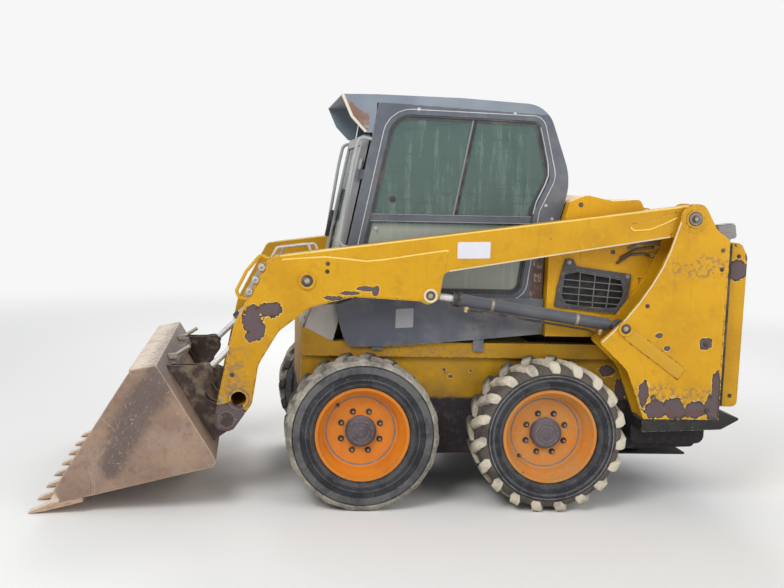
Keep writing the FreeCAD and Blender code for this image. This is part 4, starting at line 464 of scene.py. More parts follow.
black_plastic = plain_plastic("black_plastic", shade(34, 34, 36), 0.5)
grille_shade_black = plain_plastic("grille_shade_black", shade(14, 14, 16), 0.7, 200.0, 0.1)
seal_black = plain_plastic("seal_black", shade(30, 31, 33), 0.6, 180.0, 0.3)
window_seal = plain_plastic("window_seal", shade(64, 66, 70), 0.6, 180.0, 0.2)
pipe_black = plain_plastic("pipe_black", shade(40, 39, 40), 0.6, 420.0, 0.4)
pipe_brown = plain_plastic("pipe_brown", shade(92, 70, 54), 0.65, 420.0, 0.4)
wire_grey = grey_paint("wire_grey", shade(112, 114, 116), shade(132, 134, 136), 0.45, 0.3)
grille_wire = grey_paint("grille_wire", shade(92, 93, 92), shade(112, 112, 108), 0.5, 0.3)
trim_grey = grey_paint("trim_grey", shade(126, 126, 134), shade(150, 150, 156), 0.45, 0.3)
trim_pale = grey_paint("trim_pale", shade(186, 190, 194), shade(206, 208, 210), 0.45, 0.2)
flange_cream = grey_paint("flange_cream", shade(216, 204, 186), shade(226, 214, 200), 0.5, 0.2)
label_pale = plain_plastic("label_pale", shade(216, 214, 222), 0.5, 200.0, 0.12)
label_grey = plain_plastic("label_grey", shade(150, 152, 158), 0.5, 200.0, 0.3)
visor_rust = grey_paint("visor_rust", shade(124, 94, 82), shade(142, 116, 104), 0.65, 0.2)
red_lens = lamp_lens("red_lens", shade(150, 26, 20))
clear_lens = lamp_lens("clear_lens", shade(196, 196, 190))

NODE_FINISH = {
    "arm": boom_yellow, "cross_tube": boom_yellow, "tilt_bracket": boom_yellow, "upright": upright_yellow,
    "engine_hood": hood_yellow, "rear_screen": hood_yellow, "main_frame": frame_yellow_shaded, "tailgate": tail_yellow,
    "axle_housings": dark_steel, "engine_block": engine_black, "rear_bumper": bumper_black,
    "tail_lamps": lamp_grey, "tailgate_hinges": dark_steel, "side_grille": panel_black,
    "side_panel": panel_black, "cab_side": cab_grey, "cab_roof": roof_sky_reflection_grey, "cab_front": step_grey,
    "cab_rear": cab_grey, "side_glass": glass, "rear_glass": glass, "door_glass": glass,
    "door_frame": door_grey, "seat": seat_vinyl, "controls": black_plastic, "seat_bar": black_plastic,
    "grab_bars": door_grey, "rim_front": front_orange, "rim_rear": rear_orange, "tyre_front": front_rubber,
    "tyre_rear": rear_rubber, "lift_barrel": barrel_grey, "tilt_barrel": barrel_pale, "lift_rod": rod_steel,
    "tilt_rod": rod_steel, "coupler_frame": coupler_steel, "coupler_levers": lever_steel,
    "bucket_shell": bucket_brown, "bucket_edge": edge_steel, "hose_guard": boom_yellow,
    "quick_couplers": coupling_steel, "boom_tubes": coupling_steel,
}

for name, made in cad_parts.items():
    key = max((k for k in NODE_FINISH if name.startswith(k)), key=len)
    for place in made.material_slots:
        place.material = NODE_FINISH[key]
    if not made.material_slots:
        made.data.materials.append(NODE_FINISH[key])


# ---- forms


def rounded(corners, steps=5):
    """An outline's points: each corner is u, v and the radius that rounds it."""
    points = []
    count = len(corners)
    for i, (u, v, radius) in enumerate(corners):
        here = Vector((u, v))
        before = Vector(corners[i - 1][:2]) - here
        after = Vector(corners[(i + 1) % count][:2]) - here
        half = before.angle(after) / 2
        if radius < 0.1 or half > 1.56:
            points.append((u, v))
            continue
        run = min(radius / math.tan(half), 0.49 * before.length, 0.49 * after.length)
        radius = run * math.tan(half)
        middle = (before.normalized() + after.normalized()).normalized()
        centre = here + middle * (radius / math.sin(half))
        start = here + before.normalized() * run - centre
        end = here + after.normalized() * run - centre
        for k in range(steps + 1):
            share = k / steps
            spoke = (start * (1 - share) + end * share).normalized() * radius
            points.append(tuple(centre + spoke))
    return points


def inset(corners, distance):
    """An outline's corners moved inwards, or outwards where the distance is negative."""
    count = len(corners)
    area = sum(corners[i - 1][0] * corners[i][1] - corners[i][0] * corners[i - 1][1] for i in range(count))
    turn = 1.0 if area > 0 else -1.0
    moved = []
    for i, (u, v, radius) in enumerate(corners):
        into = (Vector((u, v)) - Vector(corners[i - 1][:2])).normalized()
        on = (Vector(corners[(i + 1) % count][:2]) - Vector((u, v))).normalized()
        first = Vector((-into.y, into.x)) * turn
        second = Vector((-on.y, on.x)) * turn
        step = (first + second) * (distance / (1.0 + first.dot(second)))
        moved.append((u + step.x, v + step.y, max(radius - distance, 0.2)))
    return moved


def side_plane(u, v, depth):
    return at(u, depth, v)


def front_plane(u, v, depth):
    return at(depth, u, v)


def slab(bm, corners, low, high, ease=0.0, plane=side_plane):
    """A plate with a rounded outline between two depths, its rims eased."""
    outline = rounded(corners)
    first = [bm.verts.new(plane(u, v, low)) for u, v in outline]
    second = [bm.verts.new(plane(u, v, high)) for u, v in outline]
    ends = [bm.faces.new(first), bm.faces.new(second[::-1])]
    rims = [edge for face in ends for edge in face.edges]
    for i in range(len(outline)):
        bm.faces.new((first[i], second[i], second[i - 1], first[i - 1]))
    if ease:
        bmesh.ops.bevel(bm, geom=rims, offset=ease / 1000, segments=2, profile=0.6, affect="EDGES")


def rim_plate(bm, outer, inner, low, high, plane=side_plane):
    """A flat frame between two outlines that have the same corners."""
    rings = []
    for corners, depth in ((outer, low), (inner, low), (inner, high), (outer, high)):
        rings.append([bm.verts.new(plane(u, v, depth)) for u, v in rounded(corners)])
    for k in range(4):
        first = rings[k]
        second = rings[(k + 1) % 4]
        for i in range(len(first)):
            bm.faces.new((first[i], second[i], second[i - 1], first[i - 1]))


def turned(bm, origin, along, profile, segments=32, closed=False):
    """Spins a profile of distance and radius, in millimetres, round a line from a place."""
    frame_of_line = Vector(along).to_track_quat("Z", "Y").to_matrix()
    rings = []
    for distance, radius in profile:
        if radius < 0.01:
            rings.append([bm.verts.new(origin + frame_of_line @ Vector((0, 0, distance / 1000)))])
            continue
        spokes = []
        for i in range(segments):
            angle = 2 * math.pi * i / segments
            spoke = Vector((radius * math.cos(angle), radius * math.sin(angle), distance)) / 1000
            spokes.append(bm.verts.new(origin + frame_of_line @ spoke))
        rings.append(spokes)
    pairs = list(zip(rings, rings[1:]))
    if closed:
        pairs.append((rings[-1], rings[0]))
    for first, second in pairs:
        for i in range(segments):
            j = (i + 1) % segments
            corners = [first[i % len(first)], first[j % len(first)], second[j % len(second)], second[i % len(second)]]
            bm.faces.new(list(dict.fromkeys(corners)))
    if not closed:
        for spokes in (rings[0], rings[-1]):
            if len(spokes) > 1:
                bm.faces.new(spokes)


def block(bm, centre, size, ease=1.0, turn=(0.0, 0.0, 0.0)):
    """A box with eased edges: centre in millimetres, size along X, Y and Z, turn in degrees."""
    place = Matrix.Translation(at(*centre)) @ Euler([math.radians(a) for a in turn]).to_matrix().to_4x4()
    scale = Matrix.Diagonal((size[0] / 1000, size[1] / 1000, size[2] / 1000, 1.0))
    made = bmesh.ops.create_cube(bm, size=1.0, matrix=place @ scale)["verts"]
    edges = {edge for vertex in made for edge in vertex.link_edges}
    if ease:
        bmesh.ops.bevel(bm, geom=list(edges), offset=ease / 1000, segments=2, profile=0.6, affect="EDGES")


def loft(bm, rows):
    """Skins rows of points, each a closed section, and caps both ends."""
    made = [[bm.verts.new(point) for point in row] for row in rows]
    for first, second in zip(made, made[1:]):
        for i in range(len(first)):
            bm.faces.new((first[i], second[i], second[i - 1], first[i - 1]))
    bm.faces.new(made[0])
    bm.faces.new(made[-1][::-1])


def meshed(bm, finish):
    bmesh.ops.recalc_face_normals(bm, faces=bm.faces)
    mesh = bpy.data.meshes.new("form")
    bm.to_mesh(mesh)
    bm.free()
    mesh.materials.append(finish)
    return mesh


def joined(meshes):
    """One mesh of several, each face with its own finish."""
    bm = bmesh.new()
    finishes = []
    for mesh in meshes:
        done = len(bm.faces)
        bm.from_mesh(mesh)
        bm.faces.ensure_lookup_table()
        for face in bm.faces[done:]:
            finish = mesh.materials[face.material_index]
            if finish not in finishes:
                finishes.append(finish)
            face.material_index = finishes.index(finish)
        bpy.data.meshes.remove(mesh)
    whole = bpy.data.meshes.new("form")
    bm.to_mesh(whole)
    bm.free()
    for finish in finishes:
        whole.materials.append(finish)
    return whole


def keep(name, mesh, body, slot, *nodes, crease=36):
    """A finished piece rides on its body, and stands for the CAD nodes that are named."""
    if isinstance(mesh, list):
        mesh = joined(mesh)
    piece = bpy.data.objects.new(name, mesh)
    bpy.context.collection.objects.link(piece)
    mesh.shade_smooth()
    mesh.set_sharp_from_angle(angle=math.radians(crease))
    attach(piece, body)
    if nodes:
        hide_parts(*nodes)
    return piece


class Recipe:
    """A node tree that grows a repeated or swept form from a few points, with named sizes."""

    def __init__(self, name):
        self.group = bpy.data.node_groups.new(name, "GeometryNodeTree")
        self.names = {}
        self.group.interface.new_socket("Geometry", in_out="INPUT", socket_type="NodeSocketGeometry")
        self.group.interface.new_socket("Geometry", in_out="OUTPUT", socket_type="NodeSocketGeometry")
        self.start = self.group.nodes.new("NodeGroupInput")
        self.seed = self.start.outputs["Geometry"]

    def size(self, name, kind="Float", value=None):
        made = self.group.interface.new_socket(name, in_out="INPUT", socket_type="NodeSocket" + kind)
        if value is not None:
            made.default_value = value
        self.names[name] = made.identifier
        return self.start.outputs[name]

    def make(self, kind, settings=None, **fed):
        """Adds a node and gives its first output. An input is named, or is its number after an n."""
        made = self.group.nodes.new(kind)
        for key, value in (settings or {}).items():
            setattr(made, key, value)
        for key, value in fed.items():
            socket = made.inputs[int(key[1:]) if key[1:].isdigit() else key.replace("_", " ")]
            if isinstance(value, bpy.types.NodeSocket):
                self.group.links.new(value, socket)
            else:
                socket.default_value = value
        return next(socket for socket in made.outputs if socket.enabled)

    def end(self, form):
        real = self.make("GeometryNodeRealizeInstances", Geometry=form)
        painted = self.make("GeometryNodeSetMaterial", Geometry=real, Material=self.size("Finish", "Material"))
        self.group.links.new(painted, self.group.nodes.new("NodeGroupOutput").inputs[0])
        return self

    def grow(self, seed, **sizes):
        carrier = bpy.data.objects.new("seed", seed)
        bpy.context.collection.objects.link(carrier)
        modifier = carrier.modifiers.new("form", "NODES")
        modifier.node_group = self.group
        for name, value in sizes.items():
            modifier[self.names[name]] = value
        bpy.context.view_layer.update()
        ready = carrier.evaluated_get(bpy.context.evaluated_depsgraph_get())
        mesh = bpy.data.meshes.new_from_object(ready)
        carrier.modifiers.remove(modifier)
        bpy.data.objects.remove(carrier)
        return mesh


def pipe_recipe():
    recipe = Recipe("bent_pipe")
    line = recipe.make("GeometryNodeMeshToCurve", Mesh=recipe.seed)
    soft = recipe.make("GeometryNodeFilletCurve", {"mode": "POLY"}, Curve=line, Count=6,
                       Radius=recipe.size("Bend", value=0.01), Limit_Radius=True)
    ring = recipe.make("GeometryNodeCurvePrimitiveCircle", Resolution=recipe.size("Sides", "Int", 12),
                       Radius=recipe.size("Radius", value=0.01))
    tube = recipe.make("GeometryNodeCurveToMesh", Curve=soft, Profile_Curve=ring, Fill_Caps=True)
    return recipe.end(tube)


def bolt_recipe():
    """A washer and a tapered head on each point, turned to the way the point faces."""
    recipe = Recipe("bolt_heads")
    head = recipe.make("GeometryNodeMeshCone", Vertices=recipe.size("Corners", "Int", 6), Radius_Top=0.86,
                       Radius_Bottom=1.0, Depth=0.75)
    washer = recipe.make("GeometryNodeMeshCone", Vertices=20, Radius_Top=1.42, Radius_Bottom=1.5, Depth=0.22)
    both = recipe.make("GeometryNodeJoinGeometry", Geometry=head)
    recipe.group.links.new(washer, both.node.inputs[0])
    facing = recipe.make("GeometryNodeInputNamedAttribute", {"data_type": "FLOAT_VECTOR"}, Name="facing")
    across = recipe.make("GeometryNodeInputNamedAttribute", {"data_type": "FLOAT"}, Name="across")
    turn = recipe.make("FunctionNodeAlignRotationToVector", {"axis": "Z"}, Vector=facing)
    set_out = recipe.make("GeometryNodeInstanceOnPoints", Points=recipe.seed, Instance=both, Rotation=turn,
                          Scale=across)
    return recipe.end(set_out)


def ring_recipe():
    """Repeats a form round a wheel's axle."""
    recipe = Recipe("round_axle")
    count = recipe.size("Count", "Int", 8)
    points = recipe.make("GeometryNodeMeshLine", Count=count, Offset=(0.0, 0.0, 0.0))
    index = recipe.make("GeometryNodeInputIndex")
    pitch = recipe.make("ShaderNodeMath", {"operation": "DIVIDE"}, n0=2 * math.pi, n1=count)
    turn = recipe.make("ShaderNodeMath", {"operation": "MULTIPLY_ADD"}, n0=index, n1=pitch,
                       n2=recipe.size("Start", value=0.0))
    about = recipe.make("ShaderNodeCombineXYZ", Y=turn)
    rotation = recipe.make("FunctionNodeEulerToRotation", Euler=about)
    set_out = recipe.make("GeometryNodeInstanceOnPoints", Points=points, Instance=recipe.seed, Rotation=rotation)
    real = recipe.make("GeometryNodeRealizeInstances", Geometry=set_out)
    moved = recipe.make("GeometryNodeTransform", Geometry=real, Translation=recipe.size("Axle", "Vector"))
    return recipe.end(moved)


def row_recipe():
    """Repeats a form in a straight row."""
    recipe = Recipe("straight_row")
    points = recipe.make("GeometryNodeMeshLine", Count=recipe.size("Count", "Int", 4),
                         Offset=recipe.size("Step", "Vector"))
    return recipe.end(recipe.make("GeometryNodeInstanceOnPoints", Points=points, Instance=recipe.seed))


def weld_recipe():
    """Overlapping beads along a seam, each a little different."""
    recipe = Recipe("weld_bead")
    radius = recipe.size("Radius", value=0.004)
    line = recipe.make("GeometryNodeMeshToCurve", Mesh=recipe.seed)
    steps = recipe.make("GeometryNodeResampleCurve", {"mode": "LENGTH"}, Curve=line,
                        Length=recipe.size("Step", value=0.006))
    bead = recipe.make("GeometryNodeMeshIcoSphere", Radius=radius, Subdivisions=1)
    uneven = recipe.make("FunctionNodeRandomValue", {"data_type": "FLOAT"}, n2=0.8, n3=1.2, Seed=7)
    set_out = recipe.make("GeometryNodeInstanceOnPoints", Points=steps, Instance=bead, Scale=uneven)
    return recipe.end(set_out)


bent_pipe = pipe_recipe()
bolt_heads = bolt_recipe()
round_axle = ring_recipe()
straight_row = row_recipe()
weld_bead = weld_recipe()


def lines(*paths, closed=False):
    """Seed for a pipe or a weld: each path is a list of places in millimetres."""
    places = []
    edges = []
    for path in paths:
        first = len(places)
        places.extend(at(*point) for point in path)
        edges.extend((i, i + 1) for i in range(first, len(places) - 1))
        if closed:
            edges.append((len(places) - 1, first))
    mesh = bpy.data.meshes.new("seed")
    mesh.from_pydata(places, edges, [])
    return mesh


def pipe(paths, radius, finish, bend=20.0, sides=12, closed=False):
    return bent_pipe.grow(lines(*paths, closed=closed), Radius=radius / 1000, Bend=bend / 1000, Sides=sides,
                          Finish=finish)


def weld(paths, finish, radius=3.6, step=5.5):
    return weld_bead.grow(lines(*paths), Radius=radius / 1000, Step=step / 1000, Finish=finish)


def bolts(places, across, facing, finish, corners=6):
    """Bolt heads of one size: across is half the head's width in millimetres."""
    mesh = bpy.data.meshes.new("seed")
    mesh.from_pydata([at(*place) for place in places], [], [])
    mesh.attributes.new("facing", "FLOAT_VECTOR", "POINT")
    mesh.attributes.new("across", "FLOAT", "POINT")
    for i in range(len(places)):
        mesh.attributes["facing"].data[i].vector = facing
        mesh.attributes["across"].data[i].value = across / 1000
    return bolt_heads.grow(mesh, Corners=corners, Finish=finish)


def round_boss(x, y, z, side, profile, finish, segments=32):
    """A turned piece on a Y line. The profile is distance outwards from y, and radius."""
    bm = bmesh.new()
    turned(bm, at(x, side * y, z), (0, side, 0), profile, segments)
    return meshed(bm, finish)


# ---- wheels

TYRE_INNER_Y = 432
TYRE_WIDTH = 254
DISC_FACE_Y = 567
LUG_COUNT = 19
LUG_SLANT = 0.42
LUG_FOOT_SHIFT = 8

CASING_INSIDE = ((34, 222.5), (22, 232), (8, 256), (1.5, 284), (0.5, 300), (4, 318), (14, 334), (30, 344),
                 (60, 346.5), (127, 347.5), (194, 346.5))
CASING_BEAD = ((244.5, 249), (245, 245.5), (242, 242.5), (236, 237), (230, 231.5), (224, 228.4), (221.5, 227.2),
               (198.7, 227.2), (198.7, 222.5))
FRONT_WALL = ((205, 350), (222, 358), (236, 361), (245, 358), (250.5, 350), (252.6, 341), (252.8, 337.5),
              (248.8, 335.5), (248.8, 333), (252.6, 331), (253.9, 326), (254, 312), (253.6, 301), (252.6, 297.5),
              (249.4, 295.5), (248.4, 288), (248.6, 272), (249.8, 270), (249.6, 267), (248.2, 265), (247, 256))
REAR_WALL = ((222, 344), (238, 334), (247, 320), (250.5, 309), (252.4, 305), (253, 300), (253, 291), (250.6, 288),
             (251.6, 285.5), (253.2, 279), (252.4, 274), (249.6, 271.5), (249.2, 262), (247.5, 252))

# distance from the inner wall, radius, width, and the way the face points across and outwards
LUG_STATIONS = ((121, 364.2, 34, 0.0, 1.0), (134, 365.6, 44, 0.0, 1.0), (200, 365.6, 46, 0.0, 1.0),
                (232, 365.4, 47, 0.0, 1.0), (243, 361, 48, 0.45, 0.89), (250.5, 350, 50, 0.8, 0.6),
                (253.6, 338, 49, 1.0, 0.1), (253.9, 324, 44, 1.0, 0.0), (252.6, 313, 33, 1.0, -0.1))
LUG_SECTION = ((-0.56, 24.0), (-0.5, 3.4), (-0.46, 1.0), (-0.4, 0.0), (0.4, 0.0), (0.46, 1.0), (0.5, 3.4),
               (0.56, 24.0))


def lug_seed(side, outer, stations):
    """One tread lug at the top of the wheel, measured from the axle."""
    rows = []
    for across, radius, width, over, up in stations:
        foot = LUG_FOOT_SHIFT * max(0.0, (345 - radius) / 33)
        middle = -LUG_SLANT * (TYRE_WIDTH - across) + foot
        row = []
        for share, depth in LUG_SECTION:
            x = middle + width * share
            from_inner = across - over * depth
            y = TYRE_INNER_Y + (from_inner if outer else TYRE_WIDTH - from_inner)
            reach = radius - up * depth
            row.append(Vector((x, side * y, math.sqrt(reach * reach - x * x))) / 1000)
        rows.append(row)
    bm = bmesh.new()
    loft(bm, rows)
    return meshed(bm, lug_tan)


def casing(axle_x, side, wall, finish):
    profile = [*CASING_INSIDE, *wall, *CASING_BEAD]
    bm = bmesh.new()
    turned(bm, at(axle_x, side * TYRE_INNER_Y, AXLE_Z), (0, side, 0), profile, 96, closed=True)
    return meshed(bm, finish)


def wheel(place, name, side, axle_x, wall, stations, wall_finish, lug_finish, valve_turn):
    body = f"wheel_{place}_{name}"
    axle = tuple(at(axle_x, 0, AXLE_Z))
    pitch = 2 * math.pi / LUG_COUNT
    keep(f"tyre_casing_{place}_{name}", casing(axle_x, side, wall, wall_finish), body, "tyre",
         f"tyre_{place}_{name}")
    lugs = [round_axle.grow(lug_seed(side, outer, stations), Count=LUG_COUNT, Start=start, Axle=axle, Finish=lug_finish)
            for outer, start in ((True, 0.0), (False, pitch / 2))]
    keep(f"tyre_lugs_{place}_{name}", lugs, body, "tyre")

    cap = round_boss(axle_x, DISC_FACE_Y, AXLE_Z, side,
                     ((0.2, 0), (0.2, 77), (2.4, 77), (3.2, 74.6), (23, 74.2), (30, 70), (34.6, 61), (35.2, 55.5),
                      (33.9, 54), (35.2, 52.5), (35.4, 39), (34.0, 37.5), (35.4, 36), (35.8, 22), (38, 20),
                      (38.6, 8), (37, 6), (37, 0)), hub_dark, 64)
    keep(f"hub_cap_{place}_{name}", cap, body, "worn_steel")
    bm = bmesh.new()
    turned(bm, at(0, side * DISC_FACE_Y, 101) - at(0, 0, 0), (0, side, 0),
           ((0.1, 0), (0.1, 15.5), (1.0, 15), (1.0, 0)), 20)
    recess = round_axle.grow(meshed(bm, hub_dark), Count=8, Start=math.pi / 8, Axle=axle, Finish=dark_steel)
    bm = bmesh.new()
    turned(bm, at(0, side * DISC_FACE_Y, 101) - at(0, 0, 0), (0, side, 0),
           ((0.8, 0), (0.8, 12), (9, 11.4), (10.4, 10), (10.4, 0)), 6)
    nuts = round_axle.grow(meshed(bm, dark_steel), Count=8, Start=math.pi / 8, Axle=axle, Finish=dark_steel)
    bm = bmesh.new()
    turned(bm, at(0, side * DISC_FACE_Y, 101) - at(0, 0, 0), (0, side, 0),
           ((9, 0), (9, 5.6), (15, 5.6), (16.5, 4.4), (16.5, 0)), 12)
    studs = round_axle.grow(meshed(bm, pin_steel), Count=8, Start=math.pi / 8, Axle=axle, Finish=pin_steel)
    keep(f"wheel_nuts_{place}_{name}", [recess, nuts, studs], body, "worn_steel")
    bm = bmesh.new()
    turned(bm, at(axle_x, side * DISC_FACE_Y, AXLE_Z), (0, side, 0),
           ((-1, 162.5), (0.5, 162.8), (0.9, 165.5), (2.4, 170.6), (1.6, 171.2), (-2, 168)), 96, closed=True)
    seam = meshed(bm, weld_steel)
    out = Vector((math.sin(valve_turn), math.cos(valve_turn)))
    foot = out * 168
    tip = out * 160
    stem = pipe([[(axle_x + foot.x, side * (DISC_FACE_Y + 2), AXLE_Z + foot.y),
                  (axle_x + tip.x, side * (DISC_FACE_Y + 40), AXLE_Z + tip.y)]], 4.2, pin_steel)
    collar = round_boss(axle_x + foot.x, DISC_FACE_Y + 1, AXLE_Z + foot.y, side,
                        ((0, 0), (0, 9), (5, 8), (12, 6), (12, 0)), black_plastic, 16)
    keep(f"rim_seam_{place}_{name}", [seam, stem, collar], body, "worn_steel")


for name, side in SIDES:
    wheel("front", name, side, 0, FRONT_WALL, LUG_STATIONS[:7], front_rubber, lug_worn, math.radians(-42))
    wheel("rear", name, side, WHEELBASE, REAR_WALL, LUG_STATIONS, rear_rubber, lug_tan, math.radians(-133))


# ---- boom

KNEE_PIN = (-276, 1090)
LIFT_ROD_PIN = (308, 1030)
COUPLER_PIN = (-643, 425)
CROSS_TUBE = (-588, 524)
PIVOT = (1544, 1416)
LIFT_BASE = (1241, 890)


def pin_end(x, z, y, side, outer, finish):
    """A raised collar, a dark socket and the bolt that holds the pin."""
    return [round_boss(x, y, z, side, ((-1, outer - 12), (-1, outer), (3.4, outer), (5, outer - 1.6),
                                       (5, outer - 9), (3.6, outer - 11), (0.6, outer - 12)), finish, 48),
            round_boss(x, y, z, side, ((-0.5, 0), (-0.5, outer - 11), (0.7, outer - 11), (0.7, 0)), dark_steel, 40),
            bolts([(x, side * y, z)], outer * 0.22, (0, side, 0), lever_steel)]


def boom_pieces(name, side):
    face = ARM_OUTER_Y + 9
    keep(f"knee_pin_{name}", pin_end(*KNEE_PIN, face, side, 40, boom_yellow), "boom", "yellow_paint")
    keep(f"lift_rod_pin_{name}", pin_end(*LIFT_ROD_PIN, face, side, 34, pale_edge), "boom", "worn_steel")
    keep(f"arm_bolts_{name}",
         [bolts([(-181, side * 618.2, 1173), (-182, side * 618.2, 1136), (-620, side * 618.2, 640)], 7,
                (0, side, 0), dark_steel),
          round_boss(-668, 618, 520, side, ((-1, 0), (-1, 17), (3, 16), (3, 0)), boom_yellow, 28),
          bolts([(-668, side * 620.8, 520)], 7, (0, side, 0), pin_steel)], "boom", "worn_steel")
    knee_edge = [(-395, 1188), (-300, 1196), (-197, 1204), (-100, 1197), (-3, 1187), (60, 1193), (114, 1201),
                 (250, 1224), (380, 1245)]
    gusset_edge = [(1250, 1372), (1256, 1354), (1345, 1362), (1410, 1390), (1470, 1420)]
    knee_front = [(386, 1240), (366, 1150), (344, 1026)]
    # Thin pale pipes along the knee, gusset, top and bottom edges of the arm: painted highlights.
    bright = pipe([[(x, side * 614.8, z) for x, z in knee_edge + knee_front[:1]],
                   [(x, side * 614.0, z) for x, z in gusset_edge],
                   [(-404, side * 611.6, 1203.5), (1520, side * 611.6, 1473.4)]], 4.3, bent_highlight_yellow, 30, 10)
    folded_highlight = pipe([[(396, side * 611.8, 1147.5), (1000, side * 611.8, 1251.5), (1440, side * 611.8, 1327.5)]], 4.0,
                  pale_edge, 30, 10)
    keep(f"arm_welds_and_highlights_{name}",
         [bright, folded_highlight,
          weld([[(x, side * 613.4, z) for x, z in knee_front[:2]]], boom_yellow, 3.0, 5.0),
          weld([[(x, side * 614, z) for x, z in ((1440, 1325), (1448, 1350), (1456, 1400), (1462, 1446))]],
               boom_yellow, 3.0, 5.0)], "boom", "yellow_paint")
    ring = [(CROSS_TUBE[0] + 49 * math.cos(t / 24 * 2 * math.pi), side * 618.5,
             CROSS_TUBE[1] + 49 * math.sin(t / 24 * 2 * math.pi)) for t in range(24)]
    weld_ring = weld_bead.grow(lines(ring, closed=True), Radius=0.0042, Step=0.0062, Finish=weld_steel)
    ring = [(COUPLER_PIN[0] + 38 * math.cos(t / 20 * 2 * math.pi), side * 618,
             COUPLER_PIN[1] + 38 * math.sin(t / 20 * 2 * math.pi)) for t in range(20)]
    collar_ring = weld_bead.grow(lines(ring, closed=True), Radius=0.0032, Step=0.0056, Finish=weld_steel)
    keep(f"tube_weld_{name}", [weld_ring, collar_ring], "boom", "worn_steel")


for name, side in SIDES:
    boom_pieces(name, side)

plate = bmesh.new()
slab(plate, [(170, 850, 5), (257, 856, 5), (257, 950, 5), (170, 944, 5)], -PANEL_Y - 0.2, -PANEL_Y - 1.4, 0.2)
keep("blank_plate", meshed(plate, label_grey), "chassis", "grey_paint")
sticker = bmesh.new()
slab(sticker, [(429, 1207, 6), (585, 1211, 6), (585, 1289, 6), (429, 1285, 6)], -613.2, -614.0, 0.2)
keep("blank_sticker", meshed(sticker, label_pale), "boom", "grey_paint")


def quick_coupler_pieces():
    """Coupling sleeves, dust caps and the hard pipes that leave them."""
    forms = []
    for x, z in ((-489, 1148), (-517, 1090), (-545, 1034)):
        y = ARM_OUTER_Y - 46
        forms.append(round_boss(x, y + 41, z, LEFT, ((0, 0), (0, 14), (4, 15.5), (16, 15.5), (18, 13), (20, 13),
                                                     (21, 10), (21, 8), (12, 7), (12, 0)), coupling_steel, 28))
        forms.append(round_boss(x, y + 25, z, LEFT, ((0, 17.5), (0, 18.6), (3, 19), (12, 19), (14, 18.2), (16, 15)),
                                coupling_steel, 6))
    keep("coupling_sleeves", forms, "boom", "grey_paint")
    hard_pipes = [pipe([[(-489, -540, 1148), (-470, -528, 1152), (-440, -508, 1128), (-402, -502, 1060),
                    (-420, -502, 960), (-498, -502, 840), (-560, -506, 700)]], 8, pipe_black, 34, 12),
             pipe([[(-517, -540, 1090), (-496, -528, 1092), (-462, -506, 1040), (-470, -502, 930),
                    (-530, -502, 800), (-580, -506, 690)]], 8, pipe_black, 34, 12)]
    keep("coupling_pipes", hard_pipes, "boom", "black_paint")


quick_coupler_pieces()


# ---- cylinders

LIFT_Y = 560
TILT_Y = 475
TILT_BASE = KNEE_PIN
TILT_TIP = (-747, 632)


def along_line(base, tip, distance, lift=0.0):
    """A point in the XZ plane a distance from the base, raised off the line."""
    ux, uz = (Vector(tip) - Vector(base)).normalized()
    return base[0] + ux * distance - uz * lift, base[1] + uz * distance + ux * lift


def barrel_pieces(kind, name, side, base, tip, y, radius, length, finish, tube_side):
    body = f"{kind}_barrel_{name}"

    def place(distance, lift=0.0, over=0.0):
        x, z = along_line(base, tip, distance, lift)
        return x, side * y + over, z

    line = at(*place(1)) - at(*place(0))
    bm = bmesh.new()
    turned(bm, at(*place(length - 40)), line,
           ((0, radius + 3.1), (0, radius + 6), (3, radius + 7), (14, radius + 7), (16, radius + 4.4),
            (19, radius + 4.4), (21, radius + 7), (32, radius + 7), (36, radius + 5), (36, radius - 12),
            (0, radius - 12)), 40, closed=True)
    gland = meshed(bm, dark_steel)
    bm = bmesh.new()
    turned(bm, at(*place(60)), line, ((0, radius - 2), (0, radius + 1.6), (7, radius + 1.6), (9, radius - 2)), 40)
    foot_seam = meshed(bm, finish)
    ports = []
    for distance in (86, length - 74):
        bm = bmesh.new()
        turned(bm, at(*place(distance, tube_side * (radius - 4))), at(*place(distance, tube_side * 40)) -
               at(*place(distance)), ((0, 0), (0, 13), (15, 13), (17, 11), (17, 9), (28, 9), (28, 0)), 12)
        ports.append(meshed(bm, brass))
    far = tube_side * (radius + 20)
    near = tube_side * (radius + 11)
    tube = pipe([[place(length - 74, far), place(length - 104, near), place(150, near), place(118, far)]], 5.4,
                dark_steel, 18)
    bm = bmesh.new()
    for distance in (210, length - 200):
        turned(bm, at(*place(distance)), line, ((0, radius - 3), (0, radius + 2), (14, radius + 2), (14, radius - 3)),
               40)
    bands = meshed(bm, pin_steel)
    keep(f"{kind}_barrel_fittings_{name}", [gland, foot_seam, tube, bands, *ports], body, "barrel_paint")


def rod_pieces(kind, name, side, base, tip, y, radius, reach):
    """The shoulder between a rod and its eye, short enough to stay outside the barrel when drawn in."""
    span = (Vector(tip) - Vector(base)).length
    long = reach - 26
    x, z = along_line(base, tip, span - reach)
    line = at(tip[0], 0, tip[1]) - at(base[0], 0, base[1])
    bm = bmesh.new()
    turned(bm, at(x, side * y, z), line, ((0, radius + 0.4), (long * 0.25, radius + 5), (long * 0.6, radius + 8),
                                          (long, radius + 8), (long, radius - 6), (0, radius - 6)), 36,
           closed=True)
    keep(f"{kind}_rod_shoulder_{name}", meshed(bm, coupler_steel), f"{kind}_rod_{name}", "worn_steel")


for name, side in SIDES:
    barrel_pieces("lift", name, side, LIFT_BASE, LIFT_ROD_PIN, LIFT_Y, 30, 826, barrel_grey, 1)
    barrel_pieces("tilt", name, side, TILT_BASE, TILT_TIP, TILT_Y, 32, 478, barrel_pale, 1)
    rod_pieces("lift", name, side, LIFT_BASE, LIFT_ROD_PIN, LIFT_Y, 17, 54)
    rod_pieces("tilt", name, side, TILT_BASE, TILT_TIP, TILT_Y, 16, 38)


# ---- uprights, hood and tail


